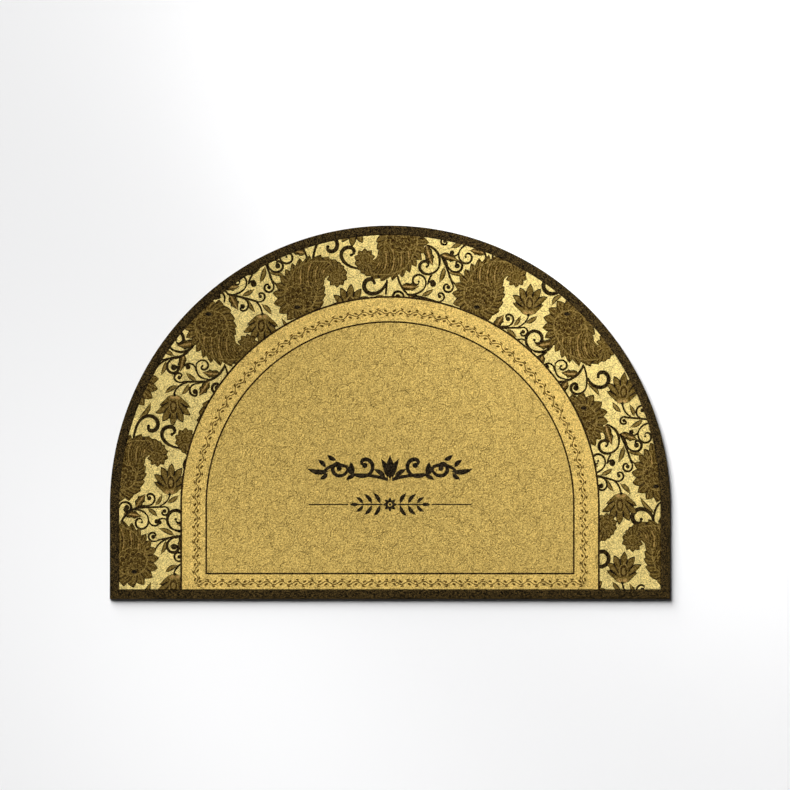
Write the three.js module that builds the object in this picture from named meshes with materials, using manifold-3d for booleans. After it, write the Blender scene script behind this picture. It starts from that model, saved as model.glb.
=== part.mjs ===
// Half-round doormat: a printed pile panel bound all round with a dark cloth tape.
// Millimetres, +Z up. The origin is the middle of the mat's bounding rectangle, on its underside.
// X runs across the mat and +Y points at its round head, so the straight edge lies along -Y.

import * as THREE from 'three';
import { mergeVertices } from 'three/addons/utils/BufferGeometryUtils.js';
import Module from 'manifold-3d';

// Driving dimensions
const MAT_WIDTH = 900;
const MAT_DEPTH = 600;
const PILE_HEIGHT = 8;
const PILE_SHOULDER = 0.8;
const BINDING_WIDTH = 15;
const BINDING_HEIGHT = 7;
const TAPE_THICKNESS = 1.5;
const EDGE_RADIUS = 2.5;
const FIT_GAP = 0.3;

// Fineness of the curved faces
const HALF_CIRCLE_STEPS = 96;
const SHOULDER_STEPS = 2;
const EDGE_STEPS = 4;

// Sizes that follow from the driving dimensions
const HEAD_RADIUS = MAT_WIDTH / 2;
const SIDE_LENGTH = MAT_DEPTH - HEAD_RADIUS;
const STRAIGHT_EDGE_Y = -MAT_DEPTH / 2;
const HEAD_CENTRE_Y = STRAIGHT_EDGE_Y + SIDE_LENGTH;
const PANEL_INSET = BINDING_WIDTH + FIT_GAP;
const RIM_INSET = TAPE_THICKNESS + FIT_GAP;
const RIM_BOTTOM = TAPE_THICKNESS + FIT_GAP;
const RIM_TOP = BINDING_HEIGHT - TAPE_THICKNESS - FIT_GAP;

const pileMaterial = new THREE.MeshStandardMaterial({ color: 0xc0a157, roughness: 0.9, metalness: 0 });
const tapeMaterial = new THREE.MeshStandardMaterial({ color: 0x322714, roughness: 0.85, metalness: 0 });

const wasm = await Module();
wasm.setup();

// The mat's outline, drawn in by the same distance along its head, its sides and its straight edge
function matOutline(inset) {
  const half = HEAD_RADIUS - inset;
  const outline = new THREE.Shape();
  outline.moveTo(-half, STRAIGHT_EDGE_Y + inset);
  outline.lineTo(half, STRAIGHT_EDGE_Y + inset);
  outline.lineTo(half, HEAD_CENTRE_Y);
  outline.absarc(0, HEAD_CENTRE_Y, half, 0, Math.PI, false);
  outline.closePath();
  return outline;
}

// A flat slab of the mat's outline between two heights, its upper and lower edges rounded if asked
function slab({ inset, bottom, top, round = 0, roundSteps = 1 }) {
  const geometry = new THREE.ExtrudeGeometry(matOutline(inset), {
    depth: top - bottom - 2 * round,
    curveSegments: HALF_CIRCLE_STEPS / 2,
    bevelEnabled: round > 0,
    bevelThickness: round,
    bevelSize: round,
    bevelOffset: -round,
    bevelSegments: roundSteps,
  });
  geometry.translate(0, 0, bottom + round);
  return solidOf(geometry);
}

// A closed geometry as a solid that can be joined and cut
function solidOf(geometry) {
  geometry.deleteAttribute('normal');
  geometry.deleteAttribute('uv');
  const merged = mergeVertices(geometry);
  return new wasm.Manifold(new wasm.Mesh({
    numProp: 3,
    vertProperties: Float32Array.from(merged.attributes.position.array),
    triVerts: Uint32Array.from(merged.index.array),
  }));
}

// A joined or cut solid as a named mesh of the scene
function meshOf(solid, name, material) {
  const { vertProperties, triVerts } = solid.getMesh();
  const geometry = new THREE.BufferGeometry();
  geometry.setAttribute('position', new THREE.BufferAttribute(vertProperties, 3));
  geometry.setIndex(new THREE.BufferAttribute(triVerts, 1));
  geometry.computeVertexNormals();
  const mesh = new THREE.Mesh(geometry, material);
  mesh.name = name;
  return mesh;
}

// The pile panel at its full height, with the rim that the binding squeezes flat
function pilePanel() {
  const field = slab({
    inset: PANEL_INSET,
    bottom: 0,
    top: PILE_HEIGHT,
    round: PILE_SHOULDER,
    roundSteps: SHOULDER_STEPS,
  });
  const rim = slab({ inset: RIM_INSET, bottom: RIM_BOTTOM, top: RIM_TOP });
  return meshOf(field.add(rim), 'pile_panel', pileMaterial);
}

// The tape folded round the panel's rim: a skin over, outside and under it, with round outer edges
function edgeBinding() {
  const folded = slab({
    inset: 0,
    bottom: 0,
    top: BINDING_HEIGHT,
    round: EDGE_RADIUS,
    roundSteps: EDGE_STEPS,
  });
  const rimPocket = slab({
    inset: TAPE_THICKNESS,
    bottom: TAPE_THICKNESS,
    top: BINDING_HEIGHT - TAPE_THICKNESS,
  });
  const panelWindow = slab({ inset: BINDING_WIDTH, bottom: -PILE_HEIGHT, top: 2 * PILE_HEIGHT });
  return meshOf(folded.subtract(rimPocket).subtract(panelWindow), 'edge_binding', tapeMaterial);
}

const doormat = new THREE.Group();
doormat.name = 'doormat';
doormat.add(pilePanel(), edgeBinding());

export default doormat;
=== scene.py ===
"""A half-round doormat: curly looped pile with a printed floral arch, bound with a dark tape.

The frame gives the mat's real width, depth and heights, and every size here is in millimetres
unless its name says otherwise. X runs across the mat, +Y points at its round head and +Z is up.
"""

import logging
import math
from dataclasses import dataclass, field
from enum import Enum
from functools import reduce
from typing import Callable, Iterable, NamedTuple, Sequence, Union

import bmesh
import bpy
import numpy as np
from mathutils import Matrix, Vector


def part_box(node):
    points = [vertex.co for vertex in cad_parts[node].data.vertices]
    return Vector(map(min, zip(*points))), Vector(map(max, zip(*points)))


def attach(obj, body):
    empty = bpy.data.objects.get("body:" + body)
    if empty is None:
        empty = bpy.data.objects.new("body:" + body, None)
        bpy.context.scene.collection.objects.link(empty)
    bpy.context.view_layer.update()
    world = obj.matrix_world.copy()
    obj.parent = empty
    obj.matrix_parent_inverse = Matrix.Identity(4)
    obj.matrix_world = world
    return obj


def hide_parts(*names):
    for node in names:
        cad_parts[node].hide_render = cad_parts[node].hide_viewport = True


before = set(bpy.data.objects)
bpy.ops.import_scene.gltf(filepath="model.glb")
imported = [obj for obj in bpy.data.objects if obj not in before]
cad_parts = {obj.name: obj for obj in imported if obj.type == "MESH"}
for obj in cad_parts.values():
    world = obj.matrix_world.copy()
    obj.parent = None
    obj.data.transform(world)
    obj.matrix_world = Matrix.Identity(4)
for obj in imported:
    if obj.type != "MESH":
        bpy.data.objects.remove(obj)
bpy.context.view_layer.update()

MM = 0.001
FULL_TURN = 2.0 * math.pi

log = logging.getLogger("doormat")

Point = tuple[float, float]
Triple = tuple[float, float, float]
Colour = tuple[float, float, float, float]


def linear(red: int, green: int, blue: int) -> Colour:
    """Turn a colour as seen on a screen into the linear one that shaders take.

    Args:
        red: Red from 0 to 255.
        green: Green from 0 to 255.
        blue: Blue from 0 to 255.

    Returns:
        The linear colour with an alpha of 1.
    """
    shares = (channel / 255.0 for channel in (red, green, blue))
    straight = (s / 12.92 if s <= 0.04045 else ((s + 0.055) / 1.055) ** 2.4 for s in shares)
    return (*straight, 1.0)


@dataclass(frozen=True)
class MatPlan:
    """The mat seen from above: its outline, its printed rings and its heights."""

    width: float
    depth: float
    pile_top: float
    binding_top: float
    binding_width: float = 15.0
    fit_gap: float = 0.3
    outer_ring: float = 335.4
    outer_ring_line: float = 3.1
    inner_ring: float = 295.2
    inner_ring_line: float = 2.7
    foot_line: float = 41.0

    @classmethod
    def from_frame(cls) -> "MatPlan":
        """Read the mat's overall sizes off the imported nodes.

        Returns:
            The plan of this mat.
        """
        low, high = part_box("edge_binding")
        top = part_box("pile_panel")[1].z
        size = high - low
        return cls(width=size.x / MM, depth=size.y / MM, pile_top=top / MM, binding_top=high.z / MM)

    @property
    def head_radius(self) -> float:
        """Radius of the round head's outline."""
        return self.width / 2.0

    @property
    def straight_edge(self) -> float:
        """Y of the straight edge."""
        return -self.depth / 2.0

    @property
    def head_centre(self) -> float:
        """Y of the centre of the round head."""
        return self.straight_edge + self.depth - self.head_radius

    @property
    def panel_inset(self) -> float:
        """How far the open pile lies inside the outline."""
        return self.binding_width + self.fit_gap

    def ring_radius(self, x: np.ndarray, y: np.ndarray) -> np.ndarray:
        """Radius of the arch through each point: an arc on the head, an upright below it.

        Args:
            x: Places across the mat.
            y: Places along the mat.

        Returns:
            The radius, one for each point.
        """
        return np.hypot(x, np.maximum(y - self.head_centre, 0.0))

    def inset(self, x: np.ndarray, y: np.ndarray) -> np.ndarray:
        """How far each point lies inside the mat's outline.

        Args:
            x: Places across the mat.
            y: Places along the mat.

        Returns:
            The distance to the nearest edge, negative outside.
        """
        return np.minimum(self.head_radius - self.ring_radius(x, y), y - self.straight_edge)

    def outline_length(self, inset: float) -> float:
        """Length of the outline drawn in by a distance.

        Args:
            inset: The distance.

        Returns:
            The length all the way round.
        """
        radius = self.head_radius - inset
        side = self.head_centre - self.straight_edge - inset
        return math.pi * radius + 2.0 * side + 2.0 * radius


Value = Union["Wire", float]
VectorValue = Union["Wire", Sequence[float]]


@dataclass(frozen=True)
class Wire:
    """A value on its way through a node tree, which takes ordinary arithmetic."""

    graph: "Graph"
    socket: bpy.types.NodeSocket

    def __add__(self, other: Value) -> "Wire":
        """Sum."""
        return self.graph.math("ADD", self, other)

    def __radd__(self, other: Value) -> "Wire":
        """Sum, the number first."""
        return self.graph.math("ADD", other, self)

    def __sub__(self, other: Value) -> "Wire":
        """Difference."""
        return self.graph.math("SUBTRACT", self, other)

    def __rsub__(self, other: Value) -> "Wire":
        """Difference, the number first."""
        return self.graph.math("SUBTRACT", other, self)

    def __mul__(self, other: Value) -> "Wire":
        """Product."""
        return self.graph.math("MULTIPLY", self, other)

    def __rmul__(self, other: Value) -> "Wire":
        """Product, the number first."""
        return self.graph.math("MULTIPLY", other, self)

    def __truediv__(self, other: Value) -> "Wire":
        """Quotient."""
        return self.graph.math("DIVIDE", self, other)

    def __rtruediv__(self, other: Value) -> "Wire":
        """Quotient, the number first."""
        return self.graph.math("DIVIDE", other, self)

    def __neg__(self) -> "Wire":
        """The same value with the other sign."""
        return self.graph.math("MULTIPLY", self, -1.0)

    def __abs__(self) -> "Wire":
        """The value without its sign."""
        return self.graph.math("ABSOLUTE", self)

    def __lt__(self, other: Value) -> "Wire":
        """1 where this is the smaller, otherwise 0."""
        return self.graph.math("LESS_THAN", self, other)

    def __gt__(self, other: Value) -> "Wire":
        """1 where this is the larger, otherwise 0."""
        return self.graph.math("GREATER_THAN", self, other)


class Graph:
    """A node tree that formulas are written into."""

    def __init__(self, tree: bpy.types.NodeTree) -> None:
        """Take a tree to write into.

        Args:
            tree: The node tree of a material or a group.
        """
        self.tree = tree

    def node(self, kind: str, **settings: object) -> bpy.types.Node:
        """Add a node.

        Args:
            kind: The node's type name.
            **settings: Properties to set on it.

        Returns:
            The node.
        """
        made = self.tree.nodes.new(kind)
        for name, value in settings.items():
            setattr(made, name, value)
        return made

    def plug(self, socket: bpy.types.NodeSocket, value: object) -> None:
        """Feed a socket from a wire, or set it to a constant.

        Args:
            socket: The input socket.
            value: A wire, a number or a list of numbers.
        """
        if isinstance(value, Wire):
            self.tree.links.new(value.socket, socket)
        else:
            socket.default_value = value

    def call(self, kind: str, values: Sequence[object], output: int = 0, **settings: object) -> Wire:
        """Add a node, feed its inputs in order and give one of its outputs.

        Args:
            kind: The node's type name.
            values: What its inputs get; None leaves one alone.
            output: Which output to give.
            **settings: Properties to set on the node.

        Returns:
            The output.
        """
        made = self.node(kind, **settings)
        for socket, value in zip(made.inputs, values):
            if value is not None:
                self.plug(socket, value)
        return Wire(self, made.outputs[output])

    def math(self, operation: str, *values: Value) -> Wire:
        """A number worked out from others."""
        return self.call("ShaderNodeMath", values, operation=operation)

    def vector(self, operation: str, *values: VectorValue) -> Wire:
        """A vector worked out from others."""
        return self.call("ShaderNodeVectorMath", values, operation=operation)

    def measure(self, operation: str, *values: VectorValue) -> Wire:
        """A number worked out from vectors, such as a dot product."""
        return self.call("ShaderNodeVectorMath", values, output=1, operation=operation)

    def least(self, *values: Value) -> Wire:
        """The least of several numbers."""
        result = values[0]
        for value in values[1:]:
            result = self.math("MINIMUM", result, value)
        return result

    def most(self, *values: Value) -> Wire:
        """The greatest of several numbers."""
        result = values[0]
        for value in values[1:]:
            result = self.math("MAXIMUM", result, value)
        return result

    def fraction(self, value: Value) -> Wire:
        """What is left of a number above its whole part."""
        return self.math("FRACT", value)

    def parts(self, vector: Wire) -> tuple[Wire, Wire]:
        """The X and Y of a vector."""
        split = self.node("ShaderNodeSeparateXYZ")
        self.plug(split.inputs[0], vector)
        return Wire(self, split.outputs[0]), Wire(self, split.outputs[1])

    def join(self, x: Value, y: Value, z: Value = 0.0) -> Wire:
        """A vector of its components."""
        return self.call("ShaderNodeCombineXYZ", (x, y, z))

    def turn(self, x: Value, y: Value) -> Wire:
        """Angle of a point as a share of a full turn, from 0 to 1."""
        return self.fraction(self.math("ARCTAN2", y, x) * (1.0 / FULL_TURN))

    def curve(self, value: Wire, points: Sequence[Point], sharp: bool = False) -> Wire:
        """Look a number up on a curve drawn through points between 0 and 1.

        Args:
            value: The number.
            points: The curve's points, each a place and a value.
            sharp: Whether its corners stay sharp.

        Returns:
            The curve's value there.
        """
        made = self.node("ShaderNodeFloatCurve")
        drawn = made.mapping.curves[0].points
        while len(drawn) < len(points):
            drawn.new(0.5, 0.5)
        for point, (place, height) in zip(drawn, points):
            point.location = (place, height)
            point.handle_type = "VECTOR" if sharp else "AUTO"
        made.mapping.update()
        self.plug(made.inputs["Value"], value)
        return Wire(self, made.outputs[0])

    def blend(self, share: Value, under: object, over: object) -> Wire:
        """Mix two colours.

        Args:
            share: How much of the upper colour shows, 0 to 1.
            under: The lower colour.
            over: The upper colour.

        Returns:
            The mixed colour.
        """
        made = self.node("ShaderNodeMix", data_type="RGBA")
        self.plug(made.inputs[0], share)
        self.plug(made.inputs[6], under)
        self.plug(made.inputs[7], over)
        return Wire(self, made.outputs[2])

    def pick(self, share: Value, under: VectorValue, over: VectorValue) -> Wire:
        """Mix two vectors."""
        made = self.node("ShaderNodeMix", data_type="VECTOR")
        self.plug(made.inputs[0], share)
        self.plug(made.inputs[4], under)
        self.plug(made.inputs[5], over)
        return Wire(self, made.outputs[1])

    def cells(self, place: Wire, scale: Value) -> tuple[Wire, Wire]:
        """Uneven flat cells.

        Args:
            place: The point in mm.
            scale: How many cells there are to the mm.

        Returns:
            How far the middle of the point's cell is, and the cell's own shade.
        """
        made = self.node("ShaderNodeTexVoronoi", voronoi_dimensions="2D")
        self.plug(made.inputs["Vector"], place)
        self.plug(made.inputs["Scale"], scale)
        return Wire(self, made.outputs["Distance"]), self.parts(Wire(self, made.outputs["Color"]))[0]

    def noise(
        self, place: Wire, scale: float, detail: float = 2.0, output: str = "Fac", dimensions: str = "2D"
    ) -> Wire:
        """A soft noise.

        Args:
            place: The point in mm.
            scale: How many patches there are to the mm.
            detail: How many finer layers lie on it.
            output: Which of the node's outputs to give.
            dimensions: Whether it is flat or solid.

        Returns:
            The noise, from 0 to 1.
        """
        made = self.node("ShaderNodeTexNoise", noise_dimensions=dimensions)
        self.plug(made.inputs["Vector"], place)
        self.plug(made.inputs["Scale"], scale)
        self.plug(made.inputs["Detail"], detail)
        return Wire(self, made.outputs[output])

    def use(self, group: bpy.types.NodeTree, **values: object) -> dict[str, Wire]:
        """Place a node group and feed its inputs.

        Args:
            group: The group.
            **values: What its inputs get, by name, an underscore for each space.

        Returns:
            The group's outputs by name.
        """
        made = self.node("ShaderNodeGroup", node_tree=group)
        for name, value in values.items():
            self.plug(made.inputs[name.replace("_", " ")], value)
        return {socket.name: Wire(self, socket) for socket in made.outputs}


class SocketKind(Enum):
    """What a group's socket carries."""

    NUMBER = "NodeSocketFloat"
    VECTOR = "NodeSocketVector"


Wires = dict[str, Wire]


def shader_group(
    name: str,
    vectors: Sequence[str],
    numbers: Sequence[str],
    outputs: Sequence[str],
    formula: Callable[[Graph, Wires], Wires],
) -> bpy.types.NodeTree:
    """Make a shader node group out of a formula.

    Args:
        name: The group's name.
        vectors: The names of its vector inputs.
        numbers: The names of its number inputs.
        outputs: The names of its outputs, all numbers.
        formula: Takes the graph and the inputs by name, and gives the outputs by name.

    Returns:
        The group.
    """
    tree = bpy.data.node_groups.new(name, "ShaderNodeTree")
    rows = [(socket, "INPUT", SocketKind.VECTOR) for socket in vectors]
    rows += [(socket, "INPUT", SocketKind.NUMBER) for socket in numbers]
    rows += [(socket, "OUTPUT", SocketKind.NUMBER) for socket in outputs]
    for socket, side, kind in rows:
        tree.interface.new_socket(name=socket, in_out=side, socket_type=kind.value)
    graph = Graph(tree)
    entry = graph.node("NodeGroupInput")
    given = {socket: Wire(graph, entry.outputs[socket]) for socket in (*vectors, *numbers)}
    results = formula(graph, given)
    leave = graph.node("NodeGroupOutput")
    for socket in outputs:
        graph.plug(leave.inputs[socket], results[socket])
    return tree


def lay(tone: Value, mask: Value, over: Value) -> Wire:
    """Lay one number over another where a mask is 1."""
    return tone + (over - tone) * mask


class Tufts:
    """The shader group of fine grain: small uneven tufts, each with a shade of its own."""

    def __init__(self) -> None:
        """Make the group."""
        self.group = shader_group("tufts", ("Place",), ("Pitch",), ("Shade", "Height"), self._formula)

    @staticmethod
    def _formula(graph: Graph, given: Wires) -> Wires:
        """Shade and height of the tuft at a point in mm."""
        distance, shade = graph.cells(given["Place"], 1.0 / given["Pitch"])
        return {"Shade": shade, "Height": 1.0 - distance}


class RimLayer(NamedTuple):
    """One layer of curls: how far apart they are, their radii, and how the layer is shifted."""

    pitch: float
    least: float
    spread: float
    shift: float


class Rims:
    """The shader group of the curls' rims: round curls of pile, each lying over some others; the rims are
    painted shade.
    """

    layers = (RimLayer(36.0, 8.0, 7.0, 0.0), RimLayer(46.0, 11.0, 9.0, 311.0))
    half_width = 1.0
    row_pitch = 3.2

    def __init__(self) -> None:
        """Make the group."""
        self.group = shader_group("curl rims", ("Place",), (), ("RimShade", "Row"), self._formula)

    @staticmethod
    def _formula(graph: Graph, given: Wires) -> Wires:
        """How much painted rim shade a point in mm gets, and its place across a curl's rows of loops."""
        rim, row = 0.0, 0.5
        for layer in Rims.layers:
            moved = graph.vector("ADD", given["Place"], (layer.shift, layer.shift, 0.0))
            share, shade = graph.cells(moved, 1.0 / layer.pitch)
            radius = shade * layer.spread + layer.least
            distance = share * layer.pitch
            # painted shade: a thin dark line along the rim of each curl, where it lies over the next
            line = graph.most(1.0 - abs(distance - radius) * (1.0 / Rims.half_width), 0.0)
            held = distance < radius
            across = graph.math("COSINE", distance * (FULL_TURN / Rims.row_pitch)) * 0.5 + 0.5
            rim = graph.most(line, lay(rim, held, 0.0))
            row = lay(row, held, across)
        return {"RimShade": rim, "Row": row}


class Stroke(NamedTuple):
    """A stem or a leaf of the print, from its foot to its tip, bowed to one side."""

    foot_x: float
    foot_y: float
    tip_x: float
    tip_y: float
    bow: float
    half_width: float


class Scroll(NamedTuple):
    """A curling tendril: a bead, a quick turn out to a ring, and a tail that flares away."""

    centre_x: float
    centre_y: float
    tail_x: float
    tail_y: float
    turns: float
    inner: float
    ring: float
    flare: float
    half_width: float
    bead: float


class Toothed(NamedTuple):
    """A motif's outline: a smooth base with a row of teeth or petals on it.

    Each table runs over the angle in degrees. It gives the base's radius in mm, the teeth passed
    since the start, the share of its width at which a tooth is highest, and a tooth's height in mm.
    """

    base: tuple[Point, ...]
    passed: tuple[Point, ...]
    peaks: tuple[Point, ...]
    heights: tuple[Point, ...]


class Placing(NamedTuple):
    """Where a motif lies in the repeat, and which way it is turned over."""

    x: float
    y: float
    flip_x: float
    flip_y: float


# The floral repeat, charted: places in mm from its upper left corner, Y running down
REPEAT = 288.0

STEMS = (
    Stroke(96.5, 121, 80, 139.5, -3.2, 1.2),
    Stroke(86, 141, 40, 143, 0.5, 1.4),
    Stroke(44, 142, 17, 166, 3.4, 1.8),
    Stroke(58.7, 152.8, 36, 146, 3.4, 1.5),
    Stroke(57, 138.7, 45, 140.5, 0.0, 1.3),
    Stroke(17, 136, 9, 168, 2.8, 1.6),
    Stroke(102.6, 177.7, 138, 163, 8.6, 2.1),
    Stroke(126, 179, 103, 190.5, -1.8, 1.9),
    Stroke(110, 187, 76, 194.5, 0.0, 1.4),
    Stroke(94, 192, 71, 214, 4.4, 1.3),
    Stroke(185, 200, 151, 227.5, -6.3, 1.9),
    Stroke(155, 227.5, 117, 228, 0.0, 1.6),
    Stroke(124, 229, 102, 249, 4.4, 1.4),
    Stroke(184, 201, 188, 240, -3.6, 1.4),
    Stroke(138.8, 200, 163, 223.5, 10.0, 1.4),
    Stroke(174, 58, 193, 90, 3.1, 1.6),
    Stroke(215, 80, 190, 88.5, -2.6, 1.5),
    Stroke(188, 87, 236, 99, -0.8, 1.7),
    Stroke(232, 97, 244.5, 119, -3.0, 1.4),
    Stroke(157, 64, 155, 88, 0.0, 1.5),
    Stroke(211, 93, 198, 89.5, 0.5, 1.3),
    Stroke(240.8, 43, 221, 8, 8.6, 2.0),
    Stroke(243, 23, 262, 71, -1.0, 1.6),
    Stroke(254, 41, 246, 26, 0.5, 1.7),
    Stroke(256, 57, 271, 74, 2.0, 1.2),
    Stroke(229, 56, 222.5, 71, 1.1, 1.4),
    Stroke(247, 263, 262, 285, 3.5, 1.4),
    Stroke(250, 285, 301, 290, -0.5, 1.5),
    Stroke(298, 288, 317, 319, -3.0, 1.7),
    Stroke(46, 4, 38, 31, 1.1, 1.8),
    Stroke(275, 15.4, 292, 6, -2.3, 1.4),
    Stroke(140, 231, 152, 228, -0.5, 1.3),
)

LEAVES = (
    Stroke(72, 139, 84, 121, 1.5, 3.2),
    Stroke(92, 134, 111, 122, 1.0, 4.0),
    Stroke(60, 143, 77, 157, -1.0, 3.5),
    Stroke(104, 187, 78, 175, 1.5, 4.0),
    Stroke(90, 194, 81, 218, -2.0, 3.5),
    Stroke(139, 226, 122, 213, -1.0, 3.8),
    Stroke(109, 234, 88, 247, 1.5, 4.0),
    Stroke(127, 230, 114, 249, -2.5, 3.6),
    Stroke(189, 229, 211, 252, -3.0, 3.8),
    Stroke(212, 90, 232, 79, 1.0, 3.8),
    Stroke(221, 95, 234, 117, 2.0, 3.6),
    Stroke(243, 103, 260, 121, -2.0, 3.9),
    Stroke(249, 42, 240, 70, -2.0, 4.2),
    Stroke(255, 52, 281, 58, -1.0, 3.9),
    Stroke(280, 0, 258, 13, -2.0, 4.0),
    Stroke(245, 277, 231, 260, -1.5, 3.9),
    Stroke(266, 284, 258, 264, 1.5, 3.6),
    Stroke(300, 152, 275, 124, -3.0, 3.6),
    Stroke(152, 88, 133, 107, 4.0, 3.9),
    Stroke(46, 286, 66, 260, 4.0, 4.0),
)

LOBED_LEAVES = (
    Stroke(42, 141, 57, 120, -0.5, 7.0),
    Stroke(22, 152, 52, 157, -1.5, 6.4),
    Stroke(139, 165, 106, 169, -1.0, 8.0),
    Stroke(119, 184, 113, 212, 0.5, 6.6),
    Stroke(159, 227, 143, 251, 0.0, 7.2),
    Stroke(178, 216, 148, 213, -0.5, 6.8),
    Stroke(181, 74, 209, 75, 1.0, 6.6),
    Stroke(193, 88, 206, 113, 0.0, 7.4),
    Stroke(220, 9, 231, 42, 1.0, 7.4),
    Stroke(242, 24, 273, 34, -1.0, 6.6),
    Stroke(26, 22, 1, 17, 1.0, 6.4),
)

CLOCKWISE_SCROLLS = (
    Scroll(67, 9, 45, 8, 0.93, 5.4, 9.8, 2.0, 2.5, 2.4),
    Scroll(95.5, 24, 113, 46, 0.876, 4.0, 12.0, 5.0, 2.4, 2.3),
    Scroll(132, 74, 155.5, 69, 0.9, 6.7, 11.8, 4.0, 2.6, 2.2),
    Scroll(50.5, 167, 58.7, 152.8, 1.0, 1.8, 9.2, 4.5, 1.4, 1.7),
    Scroll(106, 158.5, 102.6, 177.7, 1.0, 2.2, 12.0, 3.3, 2.1, 2.0),
    Scroll(151, 203, 138.8, 200, 1.0, 2.4, 5.5, 1.3, 1.35, 1.7),
    Scroll(218, 43, 240.8, 43, 1.0, 3.0, 8.7, 3.1, 1.9, 1.9),
    Scroll(28, 142, 17, 136, 0.975, 1.0, 6.0, 3.0, 1.8, 3.7),
    Scroll(88.5, 148, 84, 141, 0.9, 1.0, 6.0, 3.0, 1.3, 2.8),
    Scroll(68.5, 188.5, 77, 194.5, 0.96, 1.0, 6.2, 4.0, 1.3, 3.0),
    Scroll(110, 220.5, 120, 227.5, 0.96, 1.5, 6.6, 5.0, 1.3, 2.8),
    Scroll(171.5, 238, 188, 239, 0.935, 1.0, 7.3, 3.0, 1.8, 4.0),
    Scroll(262, 20.5, 273, 18, 0.536, 0.7, 4.6, 1.5, 1.4, 3.3),
    Scroll(255, 77, 262, 70, 0.96, 1.0, 6.8, 4.0, 1.4, 2.8),
    Scroll(214, 107, 211, 93, 0.78, 1.0, 7.0, 2.2, 1.3, 3.5),
    Scroll(230.5, 71, 222, 72, 0.41, 0.5, 5.0, 2.0, 1.4, 4.3),
    Scroll(278, 274, 283, 288, 0.75, 1.0, 7.7, 2.0, 1.3, 2.9),
)

ANTICLOCKWISE_SCROLLS = (
    Scroll(213, 224, 191, 221, 0.913, 6.4, 12.0, 4.0, 2.5, 2.3),
    Scroll(275, 157, 297, 164, 0.882, 4.5, 12.0, 3.2, 2.7, 2.4),
    Scroll(207, 65, 214.8, 80.3, 1.0, 2.2, 8.6, 2.8, 1.4, 1.7),
    Scroll(284.5, 29, 275.1, 15.1, 1.0, 1.8, 8.6, 3.3, 1.4, 1.7),
    Scroll(64.5, 127, 56, 138.7, 0.85, 1.2, 7.2, 3.0, 1.35, 3.1),
    Scroll(74.5, 165, 62, 160, 0.73, 1.0, 4.6, 1.8, 1.4, 3.3),
    Scroll(81, 165.5, 95, 171, 0.61, 1.0, 4.6, 1.5, 1.3, 2.9),
    Scroll(102, 206, 103, 190.5, 0.93, 1.5, 8.0, 2.2, 1.8, 4.3),
    Scroll(126, 204, 138, 211, 0.61, 0.5, 5.0, 1.8, 1.4, 3.5),
    Scroll(136, 243.5, 140, 231, 0.77, 1.0, 6.9, 2.0, 1.4, 3.8),
    Scroll(270, 42, 253.8, 40.6, 0.93, 0.5, 7.8, 2.6, 1.6, 3.7),
    Scroll(249, 2.5, 256, -3, 0.95, 0.7, 5.3, 4.0, 1.3, 2.5),
    Scroll(243, 91, 232, 97, 0.92, 1.5, 5.7, 3.0, 1.3, 2.5),
    Scroll(174, 90, 183, 100, 0.9, 1.0, 7.0, 3.0, 1.6, 3.6),
)

PAISLEYS = (
    Placing(76, 59, -1, 1),
    Placing(122, 31, 1, -1),
    Placing(221, 168, -1, -1),
    Placing(264, 196, 1, 1),
)

TULIPS = (
    Placing(96, 121, 1, 1),
    Placing(245, 119, -1, -1),
    Placing(247, 263, 1, 1),
    Placing(104, 249, -1, -1),
)


class Profile(Enum):
    """How a stroke's half width runs from its foot, at 0, to its tip, at 1."""

    STEM = ((0.0, 0.0), (0.02, 0.95), (0.5, 1.0), (0.98, 0.8), (1.0, 0.0))
    LEAF = ((0.0, 0.0), (0.08, 0.22), (0.4, 0.98), (0.6, 0.92), (0.88, 0.3), (1.0, 0.0))
    LOBED = (
        (0.0, 0.1), (0.1, 0.5), (0.3, 0.95), (0.47, 0.84), (0.6, 1.0), (0.68, 0.72), (0.8, 0.42),
        (1.0, 0.0),
    )
    SCROLL = ((0.0, 0.8), (0.12, 1.0), (0.7, 1.0), (1.0, 0.72))


THINNEST = 0.004
SCROLL_RISE = ((0.0, 0.0), (0.05, 0.4), (0.12, 0.8), (0.22, 1.0), (1.0, 1.0))
FLARE_START = 0.4
SCROLL_BOLDNESS = 1.1
BOLDNESS = 1.14


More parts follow.
